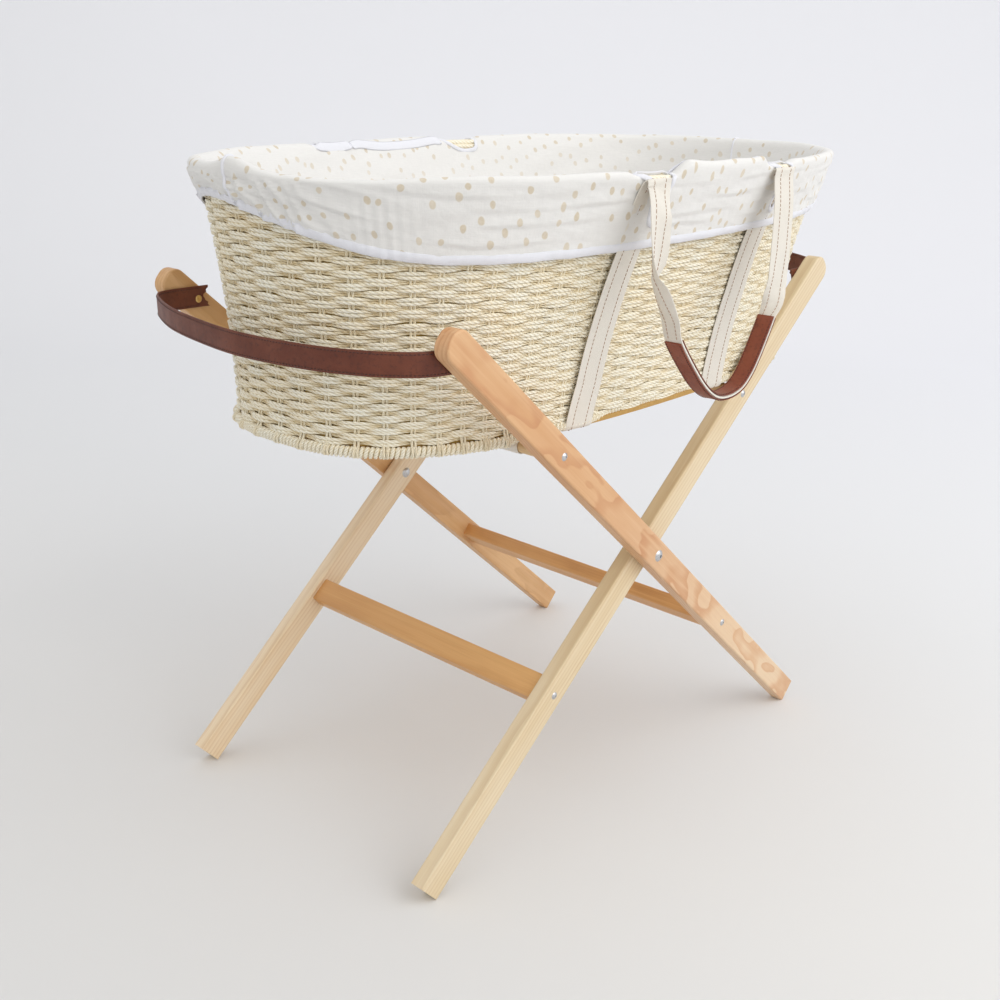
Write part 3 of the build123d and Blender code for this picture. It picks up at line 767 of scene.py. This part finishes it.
# a slot: share round, half width at the crest, half width and shift outside, depth and lean inside, how far its
# binding is flattened, and how pointed its lower end is inside
Slot = collections.namedtuple("Slot", "place half outer aside inside lean flat point")
SLOTS = {-1: [Slot(frac_at(-0.132, -1), 0.025, 0.009, 0.0125, 0.007, 0.0, 2.5, 0.55),
              Slot(frac_at(0.079, -1), 0.0225, 0.0085, 0.0225, 0.007, 0.0, 2.5, 0.55)],
         1: [Slot(frac_at(-0.093, 1), 0.03, 0.015, 0.0, 0.0115, 0.0, 5.2, 0.5),
             Slot(frac_at(0.114, 1), 0.03, 0.015, 0.0, 0.024, -0.012, 2.2, 0.95)]}
ALL_SLOTS = [slot for side in SLOTS for slot in SLOTS[side]]
SLOT_REACH = 0.056
SLOT_POINTS = 110
CLOTH_THICK = 0.0007
LINER_LENGTH = float(table_len[-4])
CREST_LOW = 0.7215


def hem_z(x, y):
    end = np.abs(x) / 0.408
    lift = 0.0395 - 0.0025 * (x < 0)
    return 0.6585 + 0.015 * x + lift * end ** 6.5 + np.where(x < 0, np.where(y > 0, 0.22, 0.17) * y * end ** 6, 0.0)


def bump_at(frac, where, width):
    return np.exp(-(((frac - where + 0.5) % 1 - 0.5) / width) ** 2)


def cloth_folds(frac, down, above_hem):
    """How the flap puckers: slanting puffs by the left corner, creases that follow the hem along the sides."""
    soft = wave_noise(9, 3.0, frac, down / 0.08, 41, 2) * 0.0008
    near_hem = np.exp(-(above_hem / 0.022) ** 2)
    swing = TAU * (frac * 112 - down * 46) + 1.6 * np.sin(TAU * frac * 23) + 0.9 * np.sin(TAU * frac * 61)
    puff = np.clip(np.sin(swing), -0.55, 1) ** 3 * 0.6 + 0.4 * np.sin(swing)
    gather = bump_at(frac, 0.507, 0.027) * (0.35 + 0.65 * near_hem)
    soft = soft + gather * puff * 0.0042
    pinch = np.cos(TAU * (frac - 0.566) * 210 - down * 40)
    soft = soft + bump_at(frac, 0.562, 0.012) * pinch * 0.0009 * np.clip(down / 0.02, 0, 1)
    for corner in (0.42, 0.375, 0.125, 0.875):
        soft = soft + bump_at(frac, corner, 0.028) * near_hem * puff * 0.0013
    for height, seed in ((0.017, 5), (0.031, 6), (0.047, 8), (0.058, 9)):
        line = height + ripple(6, frac, seed) * 0.0035
        strength = np.clip(0.35 + ripple(11, frac, seed + 50), 0, 1)
        above = above_hem - line
        soft = soft + 0.0012 * strength * np.tanh(above / 0.001) * np.exp(-(above / 0.005) ** 2)
    crumple = wave_noise(90, 26.0, frac, down / 0.08, 63, 3)
    return soft + crumple * (0.00022 + 0.0004 * bump_at(frac, 0.5, 0.035))


INSIDE_ROWS, CREST_ROWS, FLAP_ROWS = 20, 10, 34
LINER_FACE = -0.0116


def liner_rows(frac):
    """Height and offset of each row: up the inside, over the crest and down to the hem."""
    hx, hy, _, _ = local_wall(frac, np.full_like(frac, 0.68), 0.0)
    hem = hem_z(hx, hy)
    low, high = 0.512, CREST_LOW
    rows = []
    # near the handle, between its two slots, the crest stands higher
    first, last = sorted(slot.place for slot in SLOTS[-1])
    u = (frac - first) / (last - first)
    edge = 0.03 / (last - first) / LINER_LENGTH
    panel = np.clip((u - edge) / 0.06, 0, 1) * np.clip((1 - edge - u) / 0.06, 0, 1)
    stand = (0.0048 + 0.0042 * np.exp(-((u - 0.17) / 0.13) ** 2) + 0.0022 * np.exp(-((u - 0.86) / 0.1) ** 2)) * panel
    stand = stand + 0.0078 * bump_at(frac, 0.4875, 0.0105)
    for slot in ALL_SLOTS:
        gap = np.abs(((frac - slot.place + 0.5) % 1) - 0.5) * LINER_LENGTH - slot.half
        stand = stand - 0.0034 * np.exp(-(gap / 0.008) ** 2)
    stand = stand - 0.0042 * crest_dip(frac)
    for k in range(INSIDE_ROWS):
        t = k / INSIDE_ROWS * 1.6 if k < INSIDE_ROWS / 2 else 0.8 + (k / INSIDE_ROWS - 0.5) * 0.4
        puff = wave_noise(7, 2.0, frac, t * 2.2, 57, 2) * 0.0012 - 0.0007
        corner = sum(bump_at(frac, place, 0.03) for place in (0.125, 0.375, 0.625, 0.875))
        puff = puff - corner * (0.001 + 0.0016 * np.sin(TAU * (t * 2.3 + frac * 9)) ** 2)
        rows.append((low + (high - low) * t, LINER_FACE + np.minimum(puff, 0.0004)))
    full = bump_at(frac, 0.45, 0.055)
    outer = 0.003 + 0.003 * full
    rise = 0.0084 + 0.001 * full + ripple(13, frac, 71) * 0.0007 + stand
    for k in range(CREST_ROWS + 1):
        angle = math.pi * (1 - k / CREST_ROWS)
        rows.append((high + rise * math.sin(angle) ** 0.8,
                     (outer + LINER_FACE) / 2 + (outer - LINER_FACE) / 2 * math.cos(angle)))
    tight = bump_at(frac, 0.45, 0.045)
    for k in range(1, FLAP_ROWS + 1):
        t = k / FLAP_ROWS
        z = high + (hem - high) * t
        bell = 0.003 - 0.0024 * t * tight + 0.0007 * np.sin(math.pi * t) + cloth_folds(frac, high - z, z - hem)
        bell = bell + full * (0.003 + 0.0012 * math.sin(math.pi * t ** 0.5)) * (1 - t) ** 0.6
        rows.append((z, np.maximum(bell, 0.0024 - 0.0018 * tight * t)))
    return [np.stack([np.broadcast_to(row[i], frac.shape) for row in rows], -1) for i in (0, 1)]


def liner():
    """The cloth bag with its notches, bindings, seams and piping."""
    n = 760
    frac = np.arange(n) / n
    z, off = liner_rows(frac)
    p = wall(frac[:, None], z, off)
    m = p.shape[1]
    step = np.linalg.norm(np.diff(p, axis=1), axis=2)
    down = np.concatenate([np.zeros((n, 1)), np.cumsum(step, 1)], 1)
    below = down - down[:, INSIDE_ROWS + CREST_ROWS // 2][:, None]
    mean_down = down.mean(0)
    normals = -unit(np.cross(np.roll(p, -1, 0) - np.roll(p, 1, 0), np.gradient(p, axis=1)))

    def surface(s_frac, d):
        """Point and outward normal of the cloth at a share round it and a distance below the crest."""
        f = (s_frac % 1.0) * n
        i = f.astype(int) % n
        u = (f - np.floor(f))[:, None]
        points, outs = [], []
        for index in (i, (i + 1) % n):
            row = np.array([np.interp(dd, below[k], np.arange(m)) for k, dd in zip(index, d)])
            r0 = np.clip(row.astype(int), 0, m - 2)
            w = (row - r0)[:, None]
            points.append(p[index, r0] * (1 - w) + p[index, r0 + 1] * w)
            outs.append(normals[index, r0])
        return points[0] * (1 - u) + points[1] * u, unit(outs[0] * (1 - u) + outs[1] * u)

    def opening(slot, d):
        """Half width of a slot and the shift of its middle at a distance below the crest."""
        t = ease(d, 0, 0.02)
        half = slot.half + (slot.outer - slot.half) * t
        return half, slot.aside * t + slot.lean * np.clip(-d / slot.inside, 0, 1)

    def powers(slot, outside):
        """A slot's reach down and the two powers that shape its outline, outside the crest and inside it."""
        return (np.where(outside, *pair) for pair in ((SLOT_REACH, slot.inside), (0.8, 1.15), (0.55, slot.point)))

    def slot_outline(slot):
        """Closed curve round a slot: (distance along, distance below the crest)."""
        t = np.arange(SLOT_POINTS) / SLOT_POINTS * TAU
        c, si = np.cos(t), np.sin(t)
        reach, deep, wide = powers(slot, si > 0)
        d = reach * np.sign(si) * np.abs(si) ** deep
        half, shift = opening(slot, d)
        return half * np.sign(c) * np.abs(c) ** wide + shift, d

    def along_cloth(build, s_frac, d, lift, radius, **more):
        """A tube that follows the cloth, lifted off its face."""
        points, outs = surface(s_frac, d)
        tube(build, points + outs * lift, radius, 8, up=outs, **more)

    keep = np.ones((n, m - 1), bool)
    centre_d = (below[:, :-1] + below[:, 1:]) / 2
    centre_f = (np.arange(n) + 0.5) / n
    for slot in ALL_SLOTS:
        half, shift = opening(slot, centre_d)
        along = ((((centre_f - slot.place + 0.5) % 1) - 0.5) * LINER_LENGTH)[:, None] - shift
        reach, deep, wide = powers(slot, centre_d > 0)
        keep &= ~((np.abs(centre_d / reach) ** (2 / deep) + np.abs(along / half) ** (2 / wide)) < 1)
    build = Build()
    build.grid(p, True, uv=lambda a, b: (a / n * LINER_LENGTH, mean_down[b]), keep=keep, flip=True)
    piece = build.make("liner_cloth", [DOTTED], None)
    thick = piece.modifiers.new("thick", "SOLIDIFY")
    thick.thickness = CLOTH_THICK
    thick.offset = 0.0
    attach(piece, "basket")
    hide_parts("liner_bag", "liner_flap")
    # hem binding folded over the cut edge
    hem = Build()
    last, up = p[:, -1], unit(p[:, -3] - p[:, -1])
    out = wall_normal(frac, z[:, -1])
    wave = ripple(40, frac, 91) * 0.0004
    section = [last + up * (0.004 + along) + out * (lift + wave[:, None] * 0.5) - up * wave[:, None]
               for along, lift in ((-0.004, 0.0009), (0.0, 0.0013), (0.0042, 0.001), (0.0047, 0.0),
                                   (0.0042, -0.0009), (-0.004, -0.0009), (-0.0048, 0.0))]
    hem.grid(np.stack(section, 1), True, True, lambda a, b: (a / n * LINER_LENGTH, b * 0.004))
    bound = hem.make("hem_binding", [BINDING], "basket")
    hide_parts("liner_hem")
    # bound edges of the slots, and the scalloped seam between each pair of slots
    edges = Build()
    for slot in ALL_SLOTS:
        along, d = slot_outline(slot)
        points, outs = surface(slot.place + along / LINER_LENGTH, d)
        outs = unit(np.roll(outs, 1, 0) + outs + np.roll(outs, -1, 0))
        curl = 0.0007 * np.sin(np.arange(len(d)) / len(d) * TAU * 5)[:, None]
        tube(edges, points + outs * (0.0004 + curl), 0.0012, 8, closed=True, flat=slot.flat, up=outs)
    for pair in SLOTS.values():
        a, b = sorted(pair)
        u = np.linspace(0, 1, 50)
        start, stop = a.place + a.half * 1.02 / LINER_LENGTH, b.place - b.half * 1.02 / LINER_LENGTH
        d = -(0.007 + 0.0075 * np.sin(math.pi * u) ** 0.8)
        along_cloth(edges, start + (stop - start) * u, d, 0.0005, 0.001, flat=6.0)
    edges.make("slot_binding", [BINDING], "basket")
    # piped seams
    piping = Build()
    for where, d0, d1, lean in ((0.4865, -0.006, 0.042, -0.0065), (0.998, -0.004, 0.034, 0.001)):
        d = np.linspace(d0, d1, 28)
        share = (d - d0) / (d1 - d0)
        along_cloth(piping, where + lean * (share - 1.4 * share ** 2), d, 0.0008, 0.0016)
    along_cloth(piping, np.full(40, 0.998), np.linspace(-0.15, -0.002, 40), 0.0004, 0.0012)
    piping.make("liner_piping", [BINDING], "basket")


# ---- pad
def pad():
    """The mattress: a crowned oval pad with a piped edge."""
    n, rings = 220, 26
    frac = np.arange(n) / n
    z0, z1, edge_off, edge_deep = 0.4832, 0.5185, -0.015, 0.01

    def ring(off, z):
        return np.column_stack([wall(frac, 0.5, off)[:, :2], np.full(n, z)])

    build = Build()
    middle, half = (z0 + z1) / 2, (z1 - z0) / 2
    p = np.stack([ring(edge_off - edge_deep + edge_deep * math.cos(a) ** 0.7, middle + half * math.sin(a))
                  for a in math.pi * np.arange(9) / 8 - math.pi / 2], 1)
    build.grid(p, True, uv=lambda a, b: (a / n * 2.0, b * 0.006))
    centre = np.array([BASKET_X, BASKET_Y])
    for top in (1, 0):
        rim = p[:, -top]
        rows = []
        for k in range(rings):
            s = 1 - k / (rings - 1) * 0.985
            crown = 0.0022 * (1 - s ** 4) * top
            uneven = wave_noise(9, 2, frac, s * 3, 17, 2) * 0.0009 * (s ** 2) * top
            rows.append(np.column_stack([centre + (rim[:, :2] - centre) * s, rim[:, 2] + crown + uneven]))
        rows.append(np.broadcast_to(rows[-1].mean(0), rim.shape))
        build.grid(np.stack(rows, 1), True, flip=not top)
    piece = build.make("mattress_pad", [PAD], "basket")
    # map the cloth flat from above
    mesh = piece.data
    co = np.zeros(len(mesh.vertices) * 3)
    mesh.vertices.foreach_get("co", co)
    index = np.zeros(len(mesh.loops), int)
    mesh.loops.foreach_get("vertex_index", index)
    flat = co.reshape(-1, 3)[index]
    mesh.uv_layers[0].data.foreach_set("uv", np.column_stack([flat[:, 0], flat[:, 1] + flat[:, 2]]).ravel())
    piping = Build()
    for level in (z1 - 0.0035, z0 + 0.0035):
        tube(piping, ring(edge_off - 0.0022, level), 0.0016, 8, closed=True)
    piping.make("mattress_piping", [PAD], "basket")
    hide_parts("mattress")


# ---- straps
# shares of the webbing's width
STITCH_LINES = (0.24, 0.73)


def carry_straps():
    """Webbing sewn up both sides of the weave and across under the board."""
    for k, name in enumerate(("left", "right")):
        up_z = np.linspace(0.712, 0.479, 40)
        sides = []
        for side in (-1, 1):
            round_at = [frac_at(np.interp(z, (0.475, 0.52, 0.59, 0.66), STRAP_X[side][k]), side, z) for z in up_z]
            down_wall = wall(np.array(round_at), up_z, 0.0012)
            x, y, _ = down_wall[-1]
            sides.append(np.vstack([down_wall, [x, y - 0.0006 * side, 0.4765], [x, y - 0.004 * side, 0.4749]]))
        t = np.linspace(0.02, 0.98, 30)[:, None]
        under = sides[0][-1] * (1 - t) + sides[1][-1] * t
        under[:, 2] = 0.4748
        path = smooth_path(np.vstack([sides[0], under, sides[1][::-1]]), 260)
        across = YAW - math.radians(5.8) * np.clip(np.abs(path[:, 2] - 0.712) / 0.236, 0, 1)
        wide = np.stack([np.cos(across), np.sin(across), 0 * across], -1)
        build = Build()
        at, length = band(build, path, -wide, 0.038, 0.0015)
        stitches(build, at, [(0.004, length - 0.004)], [1 - line for line in STITCH_LINES])
        piece = build.make(f"carry_webbing_{name}", [WEBBING, THREAD], "basket")
        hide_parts(f"carry_strap_{name}")


# how far from the basket's middle plane the handles hang
HANG = 0.2662


def handle(side, name):
    """One carrying handle: it leaves the wall under the rim, hangs down and is folded into a leather grip."""
    def put(x, y, z):
        return to_world(x, y * side, z)

    middle = HANDLE_X[side]
    loop = ((0.7, 0.0032), (0.71, 0.0032), (0.7192, 0.0042), (0.7228, 0.0066), (0.7219, 0.0094),
            (0.713, 0.0124))
    legs = []
    for k in (-1, 1):
        x = middle + k * HANDLE_SPACING - (0.0055 if k < 0 else 0.0)
        f = frac_at(x, side)
        legs.append([(x, abs(float(local_wall(f, z, off)[1])), z) for z, off in loop])
    lx, rx = legs[0][0][0], legs[1][0][0]
    sag = np.array([(-0.0835, 0.5715), (-0.056, 0.541), (-0.029, 0.516), (-0.005, 0.502), (0.019, 0.4984),
                    (0.043, 0.503), (0.061, 0.516), (0.0755, 0.535), (0.0885, 0.556), (0.0975, 0.5715),
                    (0.106, 0.585), (0.111, 0.604), (0.1115, 0.63), (0.1095, 0.668)])
    left = legs[0] + [(lx - 0.006, 0.2655, 0.692), (lx - 0.0045, HANG, 0.67), (lx + 0.001, HANG, 0.64),
                      (lx + 0.0095, HANG, 0.614), (lx + 0.0218, HANG, 0.591)]
    right = [(middle + x, HANG, z) for x, z in sag] + [(rx, 0.2655, 0.692)] + legs[1][::-1]
    path = smooth_path(put(*np.array(left + right).T), 440)
    z = path[:, 2]
    n = len(path)
    first = np.arange(n) < int(np.argmin(z))
    outward = np.array([-math.sin(YAW), math.cos(YAW), 0.0]) * side
    t = tangents(path)
    arc = lengths(path)

    # flat against the basket at the rim; folded and turned a quarter round where it enters the grip
    def on_legs(on_left, on_right):
        return np.where(first, np.interp(z, *on_left), np.interp(z, *on_right))

    angle = np.radians(on_legs(((0.575, 0.59, 0.605, 0.62, 0.63, 0.64, 0.65, 0.662, 0.69, 0.716),
                                (90, 87, 79, 64, 50, 25, 15, 10, 4, 0)),
                               ((0.572, 0.58, 0.59, 0.6, 0.612, 0.63, 0.716), (90, 72, 38, 14, 4, 2, 0))))
    sideways = unit(np.cross(outward, t))
    wide = unit(sideways * np.cos(angle)[:, None] - outward * np.sin(angle)[:, None])
    inside = 1 - ease(z, 0.568, 0.578)
    width = on_legs(((0.572, 0.59, 0.605, 0.622, 0.64, 0.66), (0.02, 0.0222, 0.025, 0.03, 0.0345, 0.038)),
                    ((0.572, 0.58, 0.59, 0.6, 0.612, 0.63), (0.02, 0.0212, 0.0245, 0.03, 0.035, 0.038)))
    curl = on_legs(((0.578, 0.59, 0.605, 0.622, 0.634, 0.65, 0.68, 0.7),
                    (0, 0.0012, 0.0044, 0.0085, 0.01, 0.0078, 0.0026, 0)),
                   ((0.575, 0.585, 0.6, 0.62, 0.64), (0, 0.0018, 0.003, 0.0014, 0)))
    build = Build()
    at, length = band(build, path, wide, width, 0.0018 + 0.0018 * inside, bulge=curl)
    hidden = arc[z < 0.572]
    stitches(build, at, [(0.012, hidden[0]), (hidden[-1], length - 0.012)], STITCH_LINES, (1, -1))
    piece = build.make(f"handle_webbing_{name}_soft", [WEBBING, THREAD], None)
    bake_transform(piece)
    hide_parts("handle_webbing_" + name)
    # two leather strips stitched together over the folded webbing, whose edge shows between them
    gripped = arc[z < 0.5715]
    spine, wide = (sample(values, arc, np.linspace(gripped[0], gripped[-1], 130)) for values in (path, wide))
    t = tangents(spine)
    wide = unit(wide)
    wide = unit(wide - t * np.sum(wide * t, -1, keepdims=True))
    leather = Build()
    for face in (1, -1):
        centre = spine + np.cross(wide, t) * face * 0.0025
        at, length = band(leather, centre, wide, 0.02, 0.0015, 11, round_edge=0.3)
        stitches(leather, at, [(0.002, length - 0.002)], (0.09, 0.91), (face,), 0.0034, 0.7)
    grip = leather.make(f"handle_grip_{name}_leather", [CHESTNUT, DARK_THREAD], "handle_" + name)
    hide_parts("handle_grip_" + name)


def spreaders():
    """Webbing looped round both dowels: it runs flat between them and is sewn back on itself."""
    wrap = 0.0089
    for name, y in (("near", -0.149), ("far", 0.149)):
        turns = [[(STAND_X + side * DOWEL_X + wrap * math.sin(a), DOWEL_Z + wrap * math.cos(a))
                  for a in np.radians(np.linspace(*span, 18))] for side, span in ((-1, (-250, 0)), (1, (0, 250)))]
        middle = [(STAND_X - DOWEL_X + 2 * DOWEL_X * t, DOWEL_Z + wrap) for t in np.linspace(0.03, 0.97, 24)]
        flat = np.array(turns[0] + middle + turns[1])
        path = smooth_path(np.column_stack([flat[:, 0], np.full(len(flat), y), flat[:, 1]]), 300)
        build = Build()
        at, length = band(build, path, np.array([0, 1.0, 0]), 0.05, 0.0013)
        stitches(build, at, [(0.03, length - 0.03)], (0.1, 0.9), pitch=0.005, share=0.62, radius=0.0004)
        piece = build.make(f"spreader_webbing_{name}", [WEBBING, THREAD], None)
        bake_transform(piece)
        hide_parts(f"spreader_{name}")


def end_straps():
    """Leather straps bowed from leg top to leg top, riveted to the legs' inner faces."""
    left = [(-0.299, 0.2094), (-0.33, 0.2094), (-0.35, 0.2085), (-0.368, 0.201), (-0.385, 0.17),
            (-0.404, 0.12), (-0.417, 0.06), (-0.4255, -0.01), (-0.4215, -0.07), (-0.408, -0.128),
            (-0.388, -0.17), (-0.366, -0.196), (-0.346, -0.207), (-0.328, -0.2093), (-0.299, -0.2094)]
    right = [(0.269, 0.1894), (0.3, 0.1894), (0.322, 0.189), (0.343, 0.184), (0.374, 0.154), (0.402, 0.108),
             (0.42, 0.056), (0.427, 0.0), (0.421, -0.056), (0.403, -0.108), (0.374, -0.154),
             (0.343, -0.184), (0.322, -0.189), (0.3, -0.1894), (0.269, -0.1894)]

    def jagged(v):
        return 0.008 * (1 - np.abs(2 * v - 1)) ** 1.2 + 0.0012 * np.sin(v * 37)

    for name, pts, z, across, body in (("left", left, 0.5765, -UP, "outer_frame"),
                                       ("right", right, 0.5835, UP, "inner_frame")):
        xy = smooth_path(np.array(pts), 260)
        path = np.column_stack([xy, np.full(len(xy), z)])
        build = Build()
        at, length = band(build, path, across, 0.023, 0.0027, 11, jagged, bulge=0.0001)
        stitches(build, at, [(0.012, length - 0.012)], (0.1, 0.9), (1, -1), 0.0036, 0.7, 0.00038)
        piece = build.make(f"end_strap_{name}_leather", [LEATHER, DARK_THREAD], body)
        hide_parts(f"end_strap_{name}")


woven_wall()
foot_border()
rim_rope()
liner()
pad()
carry_straps()
handle(-1, "near")
handle(1, "far")
spreaders()
end_straps()


# ---- stage, lamps and camera
VIEW_YAW, VIEW_PITCH, VIEW_ROLL = 0.7664, -0.4161, 0.0155


def stage():
    """A pale floor that sweeps up into the backdrop, its colour graded as painted light: darker towards -X, paler and
    bluer towards +X.
    """
    build = Build()
    a = np.radians(np.linspace(0, 90, 14))
    back, start, sweep, top, half_width = -14.0, 2.2, 1.6, 5.0, 16.0
    run = [(start + sweep * math.sin(t), sweep * (1 - math.cos(t))) for t in a]
    run = [(back, 0.0)] + run + [(start + sweep, top)]
    direction = np.array([math.cos(VIEW_YAW), math.sin(VIEW_YAW)])
    cross = np.array([-direction[1], direction[0]])
    build.grid(np.array([[np.append(direction * r + cross * w, z) for r, z in run]
                         for w in (-half_width, half_width)]))
    mesh = bpy.data.meshes.new("floor")
    mesh.from_pydata(build.points[0].tolist(), [], build.faces[0].tolist())
    mesh.shade_smooth()
    floor = placed("floor", mesh)
    m = Mat("pale_backdrop_painted_light", roughness=0.9)
    # Painted light and shade: the colour falls off towards -X and brightens and cools towards +X, as the light across
    # the floor and backdrop would.
    distance = m.vector("DOT_PRODUCT", m.coords(), (0.97, 0.24, 0.0), "Value")
    m.put(m.shader.inputs["Base Color"], m.ramp(
        m.madd(distance, 0.25, 0.35), (0.0, (209, 209, 209)), (0.3, (226, 226, 226)), (0.5, (228, 229, 231)),
        (1.0, (241, 242, 247))))
    mesh.materials.append(m.material)


def lamp(name, place, target, size, power, colour=(1, 1, 1)):
    """A rectangular lamp that faces its target."""
    light = bpy.data.lights.new(name, "AREA")
    light.shape = "RECTANGLE"
    light.size, light.size_y = size
    light.energy = power
    light.color = colour
    thing = placed(name, light)
    thing.location = place
    thing.rotation_euler = (Vector(target) - Vector(place)).to_track_quat("-Z", "Y").to_euler()


def camera():
    """The view of the picture, turned by the three VIEW angles."""
    data = bpy.data.cameras.new("camera")
    data.lens = 43.87
    data.sensor_width = 36
    data.shift_x, data.shift_y = 0.0256, 0.1009
    thing = placed("camera", data)
    yaw, pitch, roll = VIEW_YAW, VIEW_PITCH, VIEW_ROLL
    forward = Vector((math.cos(pitch) * math.cos(yaw), math.cos(pitch) * math.sin(yaw), math.sin(pitch)))
    right = forward.cross(Vector((0, 0, 1))).normalized()
    up = right.cross(forward)
    right, up = (math.cos(roll) * right + math.sin(roll) * up, -math.sin(roll) * right + math.cos(roll) * up)
    basis = Matrix((right, up, -forward)).transposed()
    thing.matrix_world = Matrix.Translation((-1.08766, -0.97156, 0.81955)) @ basis.to_4x4()
    bpy.context.scene.camera = thing


def sky():
    """Soft light from all round: warmer and dimmer towards -X, cooler and brighter towards +X."""
    world = bpy.data.worlds.new("world")
    bpy.context.scene.world = world
    world.use_nodes = True
    nodes, link = world.node_tree.nodes, world.node_tree.links.new
    toward, level, tints = (nodes.new("ShaderNode" + kind) for kind in ("SeparateXYZ", "MapRange", "ValToRGB"))
    level.inputs["From Min"].default_value = -1
    for element, tint in zip(tints.color_ramp.elements, ((0.815, 0.805, 0.78, 1), (0.96, 0.966, 0.985, 1))):
        element.color = tint
    link(nodes.new("ShaderNodeTexCoord").outputs["Generated"], toward.inputs[0])
    link(toward.outputs[0], level.inputs["Value"])
    link(level.outputs[0], tints.inputs[0])
    link(tints.outputs[0], nodes["Background"].inputs["Color"])


stage()
sky()
lamp("key", (0.6, -2.6, 2.3), (0, 0, 0.45), (3.6, 2.6), 42, (1.0, 0.985, 0.95))
lamp("top", (-0.4, 0.2, 3.0), (0, 0, 0.4), (2.5, 2.5), 4)
camera()
bpy.context.scene.view_settings.view_transform = "Standard"
